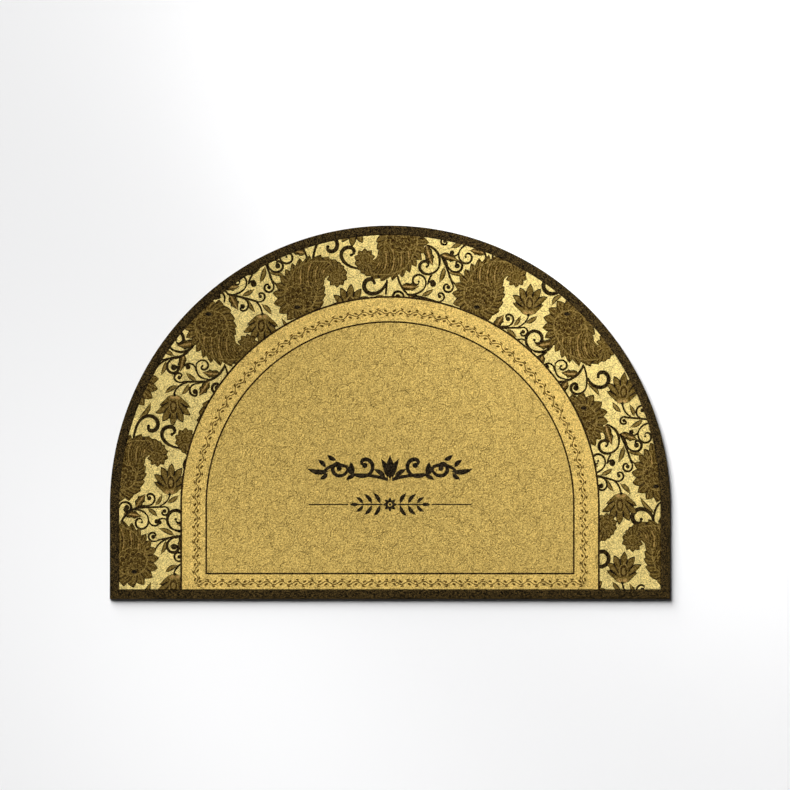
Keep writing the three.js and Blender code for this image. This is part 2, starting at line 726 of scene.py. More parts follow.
class PrintMotifs:
    """The shader groups of the printed motifs, each of which says how deep a point lies in it.

    A depth of 0 is on the motif's middle line and 1 on its edge.
    """

    def __init__(self) -> None:
        """Make the groups."""
        self.stem = self._stroke_group("stem stroke", Profile.STEM)
        self.leaf = self._stroke_group("leaf blade", Profile.LEAF)
        self.lobed = self._stroke_group("lobed leaf blade", Profile.LOBED)
        self.scroll = self._scroll_group()

    @staticmethod
    def _stroke_group(name: str, profile: Profile) -> bpy.types.NodeTree:
        """A bowed stroke whose width follows a profile.

        Args:
            name: The group's name.
            profile: The width from foot to tip.

        Returns:
            The group.
        """

        def formula(graph: Graph, given: Wires) -> Wires:
            """Depth of a point in the stroke."""
            wrapped = graph.vector("WRAP", given["Place"], given["High"], given["Low"])
            near = graph.vector("SUBTRACT", wrapped, given["Foot"])
            share = graph.measure("DOT_PRODUCT", near, given["Along"])
            aside = graph.measure("DOT_PRODUCT", near, given["Across"])
            bend = share * (1.0 - share) * given["Bow"]
            width = graph.curve(share, profile.value) * given["Half Width"]
            return {"Depth": abs(aside - bend * 4.0) / graph.most(width, THINNEST)}

        vectors = ("Place", "High", "Low", "Foot", "Along", "Across")
        return shader_group(name, vectors, ("Bow", "Half Width"), ("Depth",), formula)

    @staticmethod
    def _scroll_group() -> bpy.types.NodeTree:
        """A spiral stroke that ends in a bead.

        Returns:
            The group.
        """

        def formula(graph: Graph, given: Wires) -> Wires:
            """Depth of a point in the spiral or its bead."""
            inner = given["Inner"]
            wrapped = graph.vector("WRAP", given["Place"], given["High"], given["Low"])
            near = graph.vector("SUBTRACT", wrapped, given["Centre"])
            x = graph.measure("DOT_PRODUCT", near, given["Along"])
            y = graph.measure("DOT_PRODUCT", near, given["Across"])
            share = graph.turn(x, y) / given["Turns"]
            late = graph.most((share - FLARE_START) * (1.0 / (1.0 - FLARE_START)), 0.0)
            out = graph.math("POWER", late, given["Flare"]) * given["Spread"]
            course = inner + graph.curve(share, SCROLL_RISE, sharp=True) * given["Swell"] + out
            aside = abs(graph.measure("LENGTH", near) - course)
            width = graph.curve(share, Profile.SCROLL.value) * given["Half Width"] * (share < 1.0)
            from_bead = graph.math("SQRT", (x - inner) * (x - inner) + y * y)
            return {"Depth": graph.least(aside / graph.most(width, THINNEST), from_bead / given["Bead"])}

        vectors = ("Place", "High", "Low", "Centre", "Across", "Along")
        numbers = ("Inner", "Swell", "Spread", "Flare", "Turns", "Half Width", "Bead")
        return shader_group("scroll stroke", vectors, numbers, ("Depth",), formula)

    @staticmethod
    def window(middle: Point, repeat: float) -> dict[str, Triple]:
        """The square of one repeat around a point, as the wrap's limits.

        Args:
            middle: The point.
            repeat: The repeat's size.

        Returns:
            The limits, by the names of the sockets that take them.
        """
        half = repeat / 2.0
        return {
            "High": (middle[0] + half, middle[1] + half, 0.0),
            "Low": (middle[0] - half, middle[1] - half, 0.0),
        }

    def strokes(
        self, graph: Graph, group: bpy.types.NodeTree, place: Wire, rows: Iterable[Stroke], repeat: float
    ) -> Wire:
        """Lay some strokes.

        Args:
            graph: The tree to write into.
            group: The strokes' group.
            place: The point being coloured.
            rows: The strokes.
            repeat: The repeat's size.

        Returns:
            The point's least depth in any of them.
        """

        def lay_one(row: Stroke) -> Wire:
            """The point's depth in one stroke."""
            run, rise = row.tip_x - row.foot_x, row.tip_y - row.foot_y
            length = math.hypot(run, rise)
            return graph.use(
                group,
                Place=place,
                **self.window((row.foot_x + run / 2.0, row.foot_y + rise / 2.0), repeat),
                Foot=(row.foot_x, row.foot_y, 0.0),
                Along=(run / length**2, rise / length**2, 0.0),
                Across=(-rise / length, run / length, 0.0),
                Bow=row.bow,
                Half_Width=row.half_width,
            )["Depth"]

        return reduce(graph.least, map(lay_one, rows))

    def curls(
        self, graph: Graph, place: Wire, rows: Iterable[Scroll], hand: float, repeat: float
    ) -> Wire:
        """Lay some scrolls.

        Args:
            graph: The tree to write into.
            place: The point being coloured.
            rows: The scrolls.
            hand: 1 where they wind inwards clockwise on the chart, -1 the other way.
            repeat: The repeat's size.

        Returns:
            The point's least depth in any of them.
        """

        def lay_one(row: Scroll) -> Wire:
            """The point's depth in one scroll."""
            run, rise = row.tail_x - row.centre_x, row.tail_y - row.centre_y
            end = math.atan2(rise, run) + hand * row.turns * FULL_TURN
            return graph.use(
                self.scroll,
                Place=place,
                **self.window((row.centre_x, row.centre_y), repeat),
                Centre=(row.centre_x, row.centre_y, 0.0),
                Along=(math.cos(end), math.sin(end), 0.0),
                Across=(hand * math.sin(end), -hand * math.cos(end), 0.0),
                Inner=row.inner,
                Swell=row.ring - row.inner,
                Spread=math.hypot(run, rise) - row.ring,
                Flare=row.flare,
                Turns=row.turns,
                Half_Width=row.half_width * SCROLL_BOLDNESS,
                Bead=row.bead,
            )["Depth"]

        return reduce(graph.least, map(lay_one, rows))

    @staticmethod
    def nearest(
        graph: Graph, place: Wire, rows: Iterable[Placing], middle: Point, repeat: float
    ) -> Wire:
        """The point as seen from the nearest copy of a motif.

        Args:
            graph: The tree to write into.
            place: The point being coloured.
            rows: The copies.
            middle: The motif's middle in its own frame.
            repeat: The repeat's size.

        Returns:
            The point in the motif's own frame.
        """
        local, best = None, None
        for row in rows:
            heart = (row.x + row.flip_x * middle[0], row.y + row.flip_y * middle[1])
            limits = PrintMotifs.window(heart, repeat)
            near = graph.vector("WRAP", place, limits["High"], limits["Low"])
            shift = (-row.x * row.flip_x, -row.y * row.flip_y, 0.0)
            seen = graph.vector("MULTIPLY_ADD", near, (row.flip_x, row.flip_y, 1.0), shift)
            distance = graph.measure("DISTANCE", seen, (*middle, 0.0))
            if local is None:
                local, best = seen, distance
            else:
                local = graph.pick(distance < best, local, seen)
                best = graph.least(distance, best)
        return local


# The two large motifs, each in a frame of its own with Y running down
PAISLEY_HEART = (51.0, 20.8)
PAISLEY_MIDDLE = (44.0, 22.0)
PAISLEY_EYE = (63.0, 49.0)
PAISLEY_FLOWER = (59.0, 35.5)
PAISLEY_FLOWER_SIZE = (24.5, 23.0)
FEATHER_PITCH = 4.0
GLINT_PITCH = 12.0
GLINT_START = 16.5
EYE_PETALS = 19.0
EYE_ROW_PITCH = 9.2
HOOK_PETALS = 7.0
HOOK_RINGS = (10.0, 5.6)
PAISLEY_BODY = Toothed(
    base=(
        (0, 43), (30, 48), (65, 49), (107, 44), (150, 33), (190, 30), (208, 33), (214, 57), (228, 60),
        (270, 45.5), (308, 38), (335, 38.5), (360, 43),
    ),
    passed=((0, 0), (107, 6), (212, 11), (241, 14), (308, 18), (360, 21)),
    peaks=((0, 0.35), (100, 0.4), (110, 0.9), (206, 0.9), (214, 0.22), (360, 0.35)),
    heights=((0, 8), (90, 8), (112, 3.5), (206, 3), (216, 9), (300, 7), (360, 8)),
)
CORE_MARGIN = (
    (0, 11), (60, 12), (107, 14), (150, 12), (206, 9), (213, 29), (218, 28), (222, 0), (240, 3.5),
    (290, 5), (330, 9), (360, 11),
)
PAISLEY_HOOK = Toothed(
    base=(
        (0, 12), (60, 13.5), (150, 14), (210, 16), (250, 20.5), (286, 28.5), (305, 38), (320, 46.5),
        (345, 36), (355, 13), (360, 12),
    ),
    passed=((0, 0), (226, 6), (306, 10), (360, 11)),
    peaks=((0, 0.4), (360, 0.4)),
    heights=((0, 4.5), (190, 3.5), (230, 2.5), (300, 1.5), (310, 0), (352, 0), (360, 4.5)),
)

TEETH_LEAN = ((0, 0.4), (15, 0.5), (50, 0.5), (80, 1), (210, 1), (220, 0), (360, 0.4))
LEAN_DEPTH = 12.0
TOOTH_FULLNESS = 1.2

TULIP_POLE = (0.0, -6.0)
TULIP_MIDDLE = (0.0, -21.0)
TULIP_ALMOND = (2.0, -18.5)
TULIP_CUP = Toothed(
    base=(
        (0, 14), (40, 8), (90, 6), (140, 8), (190, 13), (218, 25.5), (275, 34), (325, 27), (345, 18),
        (360, 14),
    ),
    passed=((0, 0.8), (12, 1), (168, 2), (218, 3), (330, 8), (360, 8.8)),
    peaks=((0, 0.3), (168, 0.85), (210, 0.85), (222, 0.35), (330, 0.7), (336, 0.2), (360, 0.3)),
    heights=((0, 0), (160, 0), (205, 7), (225, 10), (275, 11), (325, 11.5), (340, 4), (360, 0)),
)


def dial(points: Sequence[Point], reach: float) -> list[Point]:
    """Turn an outline of degrees and radii into one of shares between 0 and 1.

    Args:
        points: Angles in degrees and radii.
        reach: The radius that counts as 1.

    Returns:
        The same outline in shares.
    """
    return [(angle / 360.0, radius / reach) for angle, radius in points]


class Tone(float, Enum):
    """How light the ink is, from its darkest lines at 0 to its highlights at 1."""

    DARK = 0.0
    SHADE = 0.18
    VEIN = 0.66
    GLOW = 1.0


class Blossoms:
    """The shader groups of the two large motifs: the paisley and the tulip.

    Each gives how deep a point lies inside its edge in mm and the ink's tone there.
    """

    def __init__(self) -> None:
        """Make the groups."""
        outputs = ("Inside", "Tone")
        self.paisley = shader_group("paisley", ("Place",), ("Mottle",), outputs, self._paisley)
        self.tulip = shader_group("tulip", ("Place",), ("Mottle",), outputs, self._tulip)

    @staticmethod
    def _table(graph: Graph, turn: Wire, points: Sequence[Point]) -> Wire:
        """What a table by angle gives in some direction."""
        most = max(value for _, value in points)
        return graph.curve(turn, dial(points, most), sharp=True) * most

    @staticmethod
    def _edge(graph: Graph, turn: Wire, shape: Toothed) -> Wire:
        """The radius of a toothed outline in some direction."""
        part = graph.fraction(Blossoms._table(graph, turn, shape.passed))
        peak = Blossoms._table(graph, turn, shape.peaks)
        rise = graph.least(part * (1.0 / peak), (1.0 - part) * (1.0 / (1.0 - peak)))
        full = rise * (TOOTH_FULLNESS - rise * (TOOTH_FULLNESS - 1.0))
        height = Blossoms._table(graph, turn, shape.heights)
        return Blossoms._table(graph, turn, shape.base) + full * height

    @staticmethod
    def _paisley(graph: Graph, given: Wires) -> Wires:
        """Depth and tone of the paisley, the middle of its curled tip at the origin.

        Args:
            graph: The group's tree.
            given: The point in the paisley's frame and soft noise from 0 to 1.

        Returns:
            The group's outputs.
        """
        place, mottle = given["Place"], given["Mottle"]
        from_tip = graph.measure("LENGTH", place)
        turn_tip = graph.turn(*graph.parts(place))
        hook = Blossoms._edge(graph, turn_tip, PAISLEY_HOOK) - from_tip
        heart = graph.vector("SUBTRACT", place, (*PAISLEY_HEART, 0.0))
        turn_heart = graph.turn(*graph.parts(heart))
        from_heart = graph.measure("LENGTH", heart)
        body = Blossoms._edge(graph, turn_heart, PAISLEY_BODY) - from_heart
        base = Blossoms._table(graph, turn_heart, PAISLEY_BODY.base)
        core = base - Blossoms._table(graph, turn_heart, CORE_MARGIN) - from_heart
        inside = graph.most(hook, body)
        faint = mottle * 0.3

        lean = (Blossoms._table(graph, turn_heart, TEETH_LEAN) - 0.5) * (core + LEAN_DEPTH)
        leant = graph.fraction(turn_heart + lean * 0.008)
        body_tooth = Blossoms._table(graph, leant, PAISLEY_BODY.passed)
        hook_tooth = Blossoms._table(graph, turn_tip, PAISLEY_HOOK.passed)
        tooth = graph.fraction(lay(hook_tooth, body > hook, body_tooth))
        off_middle = abs(tooth - 0.5)
        tone = tooth * 0.16 + faint + 0.2
        tone = lay(tone, (abs(off_middle - 0.2) < 0.05) * (inside > 3.0), faint + 0.5)
        tone = lay(tone, off_middle > 0.44, Tone.SHADE * 0.4)

        feather = abs(graph.fraction((from_tip + mottle * 5.0) * (1.0 / FEATHER_PITCH)) - 0.5) * 2.0
        tone = lay(tone, core > 0.0, feather * 0.38 + faint + 0.08)
        glint = abs(graph.fraction((from_tip - GLINT_START) * (1.0 / GLINT_PITCH)) - 0.5) * GLINT_PITCH
        lit = (glint < 0.8) * (abs(turn_tip - 0.5) > 0.42) * (from_tip > 18.0)
        tone = lay(tone, lit * (core > 2.0), mottle * 0.6 + 0.46)

        eye = graph.vector("SUBTRACT", place, (*PAISLEY_EYE, 0.0))
        petal = graph.turn(*graph.parts(eye)) * EYE_PETALS
        row = graph.measure("LENGTH", eye) * (1.0 / EYE_ROW_PITCH)
        bump = abs(graph.fraction(petal) - 0.5)
        other_bump = abs(graph.fraction(petal + 0.5) - 0.5)
        arc = 1.0 - bump * bump * 4.0
        other_arc = 1.0 - other_bump * other_bump * 4.0
        line = abs(graph.fraction((row - arc * 0.55) * 0.5) - 0.5)
        other_line = abs(graph.fraction((row - other_arc * 0.55) * 0.5 + 0.5) - 0.5)
        flower_place = graph.vector("SUBTRACT", place, (*PAISLEY_FLOWER, 0.0))
        sized = (1.0 / PAISLEY_FLOWER_SIZE[0], 1.0 / PAISLEY_FLOWER_SIZE[1], 1.0)
        flower = graph.measure("LENGTH", graph.vector("MULTIPLY", flower_place, sized)) - arc * 0.12
        petals = lay(faint + 0.2, graph.most(line, other_line) > 0.445, faint + 0.5)
        petals = lay(petals, flower > 0.93, Tone.VEIN)
        tone = lay(tone, (flower < 1.0) * (core > 0.0), petals)
        drop = graph.measure("LENGTH", graph.vector("MULTIPLY", eye, (0.8, 1.35, 1.0)))
        tone = lay(tone, abs(drop - 8.0) < 0.8, faint + 0.44)
        tone = lay(tone, drop < 4.0, Tone.DARK)

        tone = lay(tone, abs(core) < 1.0, faint + 0.5)
        tone = lay(tone, inside < 1.2, Tone.SHADE * 0.7)
        ring = from_tip + abs(graph.fraction(turn_tip * HOOK_PETALS) - 0.5) * 2.0
        tone = lay(tone, ring < HOOK_RINGS[0] + 0.4, faint + 0.3)
        off_ring = graph.least(*(abs(ring - radius) for radius in HOOK_RINGS))
        tone = lay(tone, off_ring < 0.6, faint + 0.48)
        return {"Inside": inside, "Tone": tone}

    @staticmethod
    def _tulip(graph: Graph, given: Wires) -> Wires:
        """Depth and tone of the tulip, the foot of its cup at the origin.

        Args:
            graph: The group's tree.
            given: The point in the tulip's frame and soft noise from 0 to 1.

        Returns:
            The group's outputs.
        """
        place, mottle = given["Place"], given["Mottle"]
        pole = graph.vector("SUBTRACT", place, (*TULIP_POLE, 0.0))
        turn_pole = graph.turn(*graph.parts(pole))
        inside = Blossoms._edge(graph, turn_pole, TULIP_CUP) - graph.measure("LENGTH", pole)
        from_foot = graph.measure("LENGTH", place)
        petal = Blossoms._table(graph, turn_pole, TULIP_CUP.passed)
        off_middle = abs(graph.fraction(petal) - 0.5)
        far = graph.least(graph.most((from_foot - 12.0) * 0.06, 0.0), 1.0)
        faint = mottle * 0.3
        tone = faint + 0.42 - off_middle * 0.3
        tone = lay(tone, (off_middle > 0.38) * (from_foot > 16.0), Tone.DARK)
        tone = lay(tone, inside < far * 1.1 + 1.2, Tone.SHADE * (1.2 - far))
        side, up = graph.parts(graph.vector("SUBTRACT", place, (*TULIP_ALMOND, 0.0)))
        almond = side * side * (1.0 / 44.0) + up * up * (1.0 / 140.0)
        tone = lay(tone, almond < 1.25, Tone.VEIN)
        tone = lay(tone, almond < 0.8, faint + 0.14)
        tone = lay(tone, almond < 0.22, faint + 0.5)
        across, down = graph.parts(place)
        glow = graph.measure("LENGTH", graph.join((abs(across) - 4.2) * 0.8, down + 4.0))
        tone = lay(tone, (glow < 6.0) * (inside > 0.5), Tone.GLOW - glow * 0.09)
        tone = lay(tone, from_foot < 2.4, Tone.DARK)
        return {"Inside": graph.most(inside, 2.4 - from_foot), "Tone": tone}


@dataclass(frozen=True)
class Palette:
    """The mat's colours."""

    field: Colour = linear(189, 161, 88)
    band: Colour = linear(204, 174, 97)
    ground: Colour = linear(219, 198, 127)
    ground_shade: Colour = linear(204, 182, 111)
    line: Colour = linear(46, 32, 8)
    vine: Colour = linear(88, 66, 24)
    bold: Colour = linear(36, 28, 16)
    tape: Colour = linear(50, 39, 18)
    backing: Colour = linear(112, 101, 84)
    ink: tuple[tuple[float, Colour], ...] = (
        (0.0, linear(23, 14, 1)),
        (0.28, linear(59, 43, 8)),
        (0.5, linear(95, 76, 32)),
        (0.7, linear(129, 107, 55)),
        (1.0, linear(178, 139, 80)),
    )


PALETTE = Palette()

# Where the repeat's upper left corner lies, from the mat's middle
CHART_CORNER = (-449.8, 276.9)

# The vine that runs between the two rings
VINE_RADIUS = 311.0
VINE_FOOT = 26.0
VINE_HALF_PERIOD = 12.0
VINE_SWING = 2.8
VINE_HALF_WIDTH = 0.85

# The ornaments in the middle, which aren't repeated
FLOURISH_Y = -89.0
SPRAY_Y = -148.0
NO_REPEAT = 4000.0
ROSETTE_PETALS = 8.0
ROSETTE_REACH = 11.5
ROSETTE_NOTCH = 9.0
ROSETTE_HOLE = 3.4
ROSETTE_HEART = 2.0
RULE_MIDDLE = 99.0
RULE_HALF_LENGTH = 32.0
RULE_HALF_WIDTH = 0.95


class MatPrint:
    """Everything printed on the pile, each drawn from one point in plan."""

    waver = 0.8
    waver_scale = 0.35
    mottle_scale = 0.22
    ground_scale = 0.012

    def __init__(self, plan: MatPlan) -> None:
        """Make the groups that the print is drawn with.

        Args:
            plan: The mat's plan.
        """
        self.plan = plan
        self.motifs = PrintMotifs()
        self.blossoms = Blossoms()

    def chart(self, graph: Graph, place: Wire) -> Wire:
        """The point on the repeat's chart, in mm with Y running down."""
        left, top = CHART_CORNER
        return graph.vector("MULTIPLY_ADD", place, (1.0, -1.0, 0.0), (-left, top, 0.0))

    def ink(self, graph: Graph, tone: Wire) -> Wire:
        """The ink's colour for a tone."""
        made = graph.node("ShaderNodeValToRGB")
        ramp = made.color_ramp
        while len(ramp.elements) < len(PALETTE.ink):
            ramp.elements.new(0.5)
        for element, (place, colour) in zip(ramp.elements, PALETTE.ink):
            element.position = place
            element.color = colour
        graph.plug(made.inputs[0], tone)
        return Wire(graph, made.outputs[0])

    def floral(self, graph: Graph, chart: Wire) -> Wire:
        """Colour of the floral repeat.

        Args:
            graph: The tree to write into.
            chart: The point on the repeat's chart.

        Returns:
            The colour.
        """
        wave = graph.noise(chart, self.waver_scale, output="Color")
        reach, half = self.waver, self.waver / 2.0
        shift = graph.vector("MULTIPLY_ADD", wave, (reach, reach, 0.0), (-half, -half, 0.0))
        place = graph.vector("ADD", chart, shift)
        mottle = graph.noise(chart, self.mottle_scale)
        motifs = self.motifs
        patch = graph.noise(chart, self.ground_scale, 1.0)
        colour = graph.blend(patch, PALETTE.ground_shade, PALETTE.ground)
        leaf = motifs.strokes(graph, motifs.leaf, place, LEAVES, REPEAT)
        lobed = motifs.strokes(graph, motifs.lobed, place, LOBED_LEAVES, REPEAT)
        leaf_tone = lay(mottle * 0.3 + 0.4, leaf > 0.62, Tone.SHADE * 0.3)
        leaf_tone = lay(leaf_tone, leaf < 0.2, Tone.VEIN)
        lobed_tone = lay(mottle * 0.5 + 0.12, lobed < 0.22, mottle * 0.6 + 0.5)
        lobed_tone = lay(lobed_tone, lobed > 0.72, Tone.DARK)
        stem = motifs.strokes(graph, motifs.stem, place, STEMS, REPEAT)
        clockwise = motifs.curls(graph, place, CLOCKWISE_SCROLLS, 1.0, REPEAT)
        anticlockwise = motifs.curls(graph, place, ANTICLOCKWISE_SCROLLS, -1.0, REPEAT)
        dark = graph.least(stem, clockwise, anticlockwise) * (1.0 / BOLDNESS)
        tone = lay(leaf_tone, lobed < 1.0, lobed_tone)
        tone = lay(tone, dark < 1.0, mottle * 0.16 + 0.02)
        inside = graph.least(leaf, lobed, dark) < 1.0
        for group, rows, middle in (
            (self.blossoms.tulip, TULIPS, TULIP_MIDDLE),
            (self.blossoms.paisley, PAISLEYS, PAISLEY_MIDDLE),
        ):
            local = motifs.nearest(graph, place, rows, middle, REPEAT)
            seen = graph.use(group, Place=local, Mottle=mottle)
            over = seen["Inside"] > 0.0
            tone = lay(tone, over, seen["Tone"])
            inside = graph.most(inside, over)
        return graph.blend(inside, colour, self.ink(graph, tone))

    def vine_band(self, graph: Graph, place: Wire) -> Wire:
        """Mask of the running vine between the two rings.

        Args:
            graph: The tree to write into.
            place: The point in mm on the mat.

        Returns:
            1 on the vine, otherwise 0.
        """
        plan = self.plan
        x, y = graph.parts(place)
        side = abs(x)
        rise = y - plan.head_centre
        from_arch = self.arch(graph, place) - VINE_RADIUS
        from_foot = plan.straight_edge + VINE_FOOT - y
        on_foot = from_foot > from_arch
        off = graph.most(from_arch, from_foot)
        turn = graph.math("ARCTAN2", side, graph.most(rise, 0.0)) * VINE_RADIUS
        run_arch = turn + graph.most(-rise, 0.0)
        run = lay(run_arch, on_foot, side)
        beat = graph.fraction(run * (0.5 / VINE_HALF_PERIOD)) - 0.5
        wave = graph.math("SINE", beat * FULL_TURN)
        vine = abs(off - wave * VINE_SWING)
        step = abs(beat) * (2.0 * VINE_HALF_PERIOD) - VINE_HALF_PERIOD * 0.5
        height = off * graph.math("SIGN", beat)
        near, low = step + 1.0, height + 2.2
        leaf_a = graph.join(near * 0.26 + low * 0.16, low * 0.5 - near * 0.3)
        past, high = step - 1.2, height - 5.2
        leaf_b = graph.join(past * 0.28 - high * 0.12, high * 0.62 + past * 0.22)
        return graph.most(
            vine < VINE_HALF_WIDTH,
            graph.measure("LENGTH", leaf_a) < 0.95,
            graph.measure("LENGTH", leaf_b) < 0.85,
        )

    def centrepiece(self, graph: Graph, place: Wire) -> tuple[Wire, Wire]:
        """Masks of the flourish in the middle and of the spray below it.

        Args:
            graph: The tree to write into.
            place: The point in mm on the mat.

        Returns:
            The bold mask and the fine mask.
        """
        x, y = graph.parts(place)
        side = abs(x)
        upper = graph.join(side, FLOURISH_Y - y)
        lower = graph.join(side, SPRAY_Y - y)
        motifs = self.motifs
        bold = graph.least(
            motifs.strokes(graph, motifs.leaf, upper, FLOURISH_LEAVES, NO_REPEAT),
            motifs.strokes(graph, motifs.stem, upper, FLOURISH_STEMS, NO_REPEAT),
            motifs.curls(graph, upper, FLOURISH_CLOCKWISE, 1.0, NO_REPEAT),
            motifs.curls(graph, upper, FLOURISH_ANTICLOCKWISE, -1.0, NO_REPEAT),
        )
        down = SPRAY_Y - y
        from_middle = graph.measure("LENGTH", lower)
        petals = abs(graph.fraction(graph.turn(side, down) * ROSETTE_PETALS + 0.5) - 0.5)
        rosette = (from_middle < (ROSETTE_REACH - petals * ROSETTE_NOTCH)) * (from_middle > ROSETTE_HOLE)
        rosette = graph.most(rosette, from_middle < ROSETTE_HEART)
        rule = (abs(down) < RULE_HALF_WIDTH) * (abs(side - RULE_MIDDLE) < RULE_HALF_LENGTH)
        spray = graph.least(
            motifs.strokes(graph, motifs.leaf, lower, SPRAY_LEAVES, NO_REPEAT),
            motifs.strokes(graph, motifs.stem, lower, SPRAY_STEMS, NO_REPEAT),
        )
        return bold < 1.0, graph.most(spray < 1.0, rosette, rule)

    def arch(self, graph: Graph, place: Wire) -> Wire:
        """Radius of the arch through a point."""
        x, y = graph.parts(place)
        return graph.measure("LENGTH", graph.join(x, graph.most(y - self.plan.head_centre, 0.0)))

    def rings(self, graph: Graph, place: Wire) -> tuple[Wire, Wire]:
        """Mask of the ring lines and where the vine's band lies.

        Args:
            graph: The tree to write into.
            place: The point in mm on the mat.

        Returns:
            The mask of the two lines, and 1 in the band outside the inner one.
        """
        plan = self.plan
        radius = self.arch(graph, place)
        from_edge = graph.parts(place)[1] - plan.straight_edge
        within = graph.least(plan.inner_ring - radius, from_edge - plan.foot_line)
        inner = abs(within) < plan.inner_ring_line / 2.0
        outer = abs(radius - plan.outer_ring) < plan.outer_ring_line / 2.0
        return graph.most(inner, outer), within < 0.0

    def beyond_outer(self, graph: Graph, place: Wire) -> Wire:
        """1 outside the outer ring, otherwise 0."""
        return self.arch(graph, place) > self.plan.outer_ring


FLOURISH_LEAVES = (
    Stroke(0, 20, 0, -21, 0, 6.2),
    Stroke(4, 17, 15, -15, -3.0, 4.6),
    Stroke(7, 18, 27, 2, -2.5, 3.9),
    Stroke(57, 9, 63, -10, 1.5, 3.9),
    Stroke(56, 13, 71, 20, -1.5, 3.4),
    Stroke(86, -12, 101, -21, 1.5, 3.6),
    Stroke(100, 8, 113, 19, 1.5, 3.6),
    Stroke(97, 5, 134, 1, 4.0, 4.3),
    Stroke(103, 0, 116, -13, -1.5, 3.6),
)
FLOURISH_STEMS = (
    Stroke(3, 19, 57, 11, -2.0, 2.7),
    Stroke(55, 12, 70, -3, 3.0, 2.7),
    Stroke(68, -1, 106, 5, -6.0, 3.0),
)
FLOURISH_CLOCKWISE = (
    Scroll(39, -4, 55, 12, 0.9, 1.5, 9.5, 2.0, 2.8, 4.4),
)
FLOURISH_ANTICLOCKWISE = (
    Scroll(83, 2, 67, -2, 0.95, 1.5, 9.0, 2.0, 2.7, 4.2),
)
SPRAY_LEAVES = (
    Stroke(16, -1, 27, -19, -2.0, 3.2),
    Stroke(16, 1, 27, 19, 2.0, 3.2),
    Stroke(29, -1, 42, -17, -2.0, 3.1),
    Stroke(29, 1, 42, 17, 2.0, 3.1),
    Stroke(43, -1, 55, -12, -1.5, 2.7),
    Stroke(43, 1, 55, 12, 1.5, 2.7),
    Stroke(50, 0, 65, 0, 0.0, 2.9),
)
SPRAY_STEMS = (
    Stroke(12, 0, 53, 0, 0.0, 1.2),
)


class Surface:
    """A material being made: its shader and the tree that feeds it."""

    specular = 0.04

    def __init__(self, name: str, roughness: float) -> None:
        """Start a material.

        Args:
            name: The material's name.
            roughness: How rough it is.
        """
        self.material = bpy.data.materials.new(name)
        self.material.use_nodes = True
        self.graph = Graph(self.material.node_tree)
        self.shader = self.material.node_tree.nodes["Principled BSDF"]
        self.shader.inputs["Roughness"].default_value = roughness
        self.shader.inputs["Specular IOR Level"].default_value = self.specular

    def place(self, flat: bool) -> Wire:
        """The point on the mat in mm, its height left out where it is flat."""
        coordinates = Wire(self.graph, self.graph.node("ShaderNodeTexCoord").outputs["Object"])
        upward = 0.0 if flat else 1.0 / MM
        return self.graph.vector("MULTIPLY", coordinates, (1.0 / MM, 1.0 / MM, upward))

    def finish(self, colour: Wire, height: Wire, strength: float, depth: float) -> bpy.types.Material:
        """Give the surface its colour and its fine relief.

        Args:
            colour: The colour.
            height: The relief's height, 0 to 1.
            strength: How much of the relief shows.
            depth: Its depth in mm.

        Returns:
            The material.
        """
        graph = self.graph
        graph.plug(self.shader.inputs["Base Color"], colour)
        bump = graph.node("ShaderNodeBump")
        bump.inputs["Strength"].default_value = strength
        bump.inputs["Distance"].default_value = depth * MM
        graph.plug(bump.inputs["Height"], height)
        graph.plug(self.shader.inputs["Normal"], Wire(graph, bump.outputs[0]))
        return self.material


class PileZone(Enum):
    """Which part of the print a piece of the pile carries."""

    FLORAL = "floral"
    FIELD = "field"


@dataclass(frozen=True)
class PileFinish:
    """Dyed looped yarn, printed from above, with painted shade along the curls' rims."""

    mat_print: MatPrint
    tufts: Tufts
    rims: Rims
    zone: PileZone
    roughness: float = 0.85
    tint_range: float = 0.3
    grain_pitch: float = 1.1
    grain_range: float = 0.85
    # how much the painted shade along the curls' rims darkens the colour
    rim_shade_depth: float = 0.36
    row_depth: float = 0.06
    dark_speck: float = 0.06
    bump_strength: float = 0.3
    bump_depth: float = 0.4

    def colour(self, graph: Graph, place: Wire) -> Wire:
        """The print's colour on this zone.

        Args:
            graph: The tree to write into.
            place: The point in mm on the mat.

        Returns:
            The colour.
        """
        made = self.mat_print
        rings, band = made.rings(graph, place)
        if self.zone is PileZone.FLORAL:
            floral = made.floral(graph, made.chart(graph, place))
            colour = graph.blend(made.beyond_outer(graph, place), PALETTE.band, floral)
            return graph.blend(rings, colour, PALETTE.line)
        colour = graph.blend(band, PALETTE.field, PALETTE.band)
        colour = graph.blend(made.vine_band(graph, place), colour, PALETTE.vine)
        bold, fine = made.centrepiece(graph, place)
        colour = graph.blend(graph.most(bold, fine), colour, PALETTE.bold)
        colour = graph.blend(rings, colour, PALETTE.line)
        return graph.blend(made.beyond_outer(graph, place), colour, PALETTE.ground)

    def make(self) -> bpy.types.Material:
        """Make the material.

        Returns:
            The material.
        """
        surface = Surface(f"printed pile {self.zone.value}", self.roughness)
        graph = surface.graph
        place = surface.place(flat=True)
        printed = self.colour(graph, place)
        # each loop's own random tone, and painted shade on the ground between the loops
        tone_and_gap_shade = Wire(graph, graph.node("ShaderNodeAttribute", attribute_name="tone_and_gap_shade").outputs["Fac"])
        tuft = graph.use(self.tufts.group, Place=place, Pitch=self.grain_pitch)
        grain = tuft["Shade"]
        rim = graph.use(self.rims.group, Place=place)
        # painted shade: the rims darken the print in thin arcs; the rows make it a little lighter and
        # darker across each curl
        curl = rim["Row"] * self.row_depth - rim["RimShade"] * self.rim_shade_depth
        middle = 1.0 - self.grain_range / 2.0 - self.row_depth / 2.0
        shade = tone_and_gap_shade * self.tint_range + grain * self.grain_range + middle + curl
        speck = (grain - 0.5) * self.dark_speck
        scaled = graph.vector("MULTIPLY", printed, graph.join(shade, shade, shade))
        colour = graph.vector("ADD", scaled, graph.join(speck, speck * 0.8, speck * 0.4))
        return surface.finish(colour, tuft["Height"], self.bump_strength, self.bump_depth)


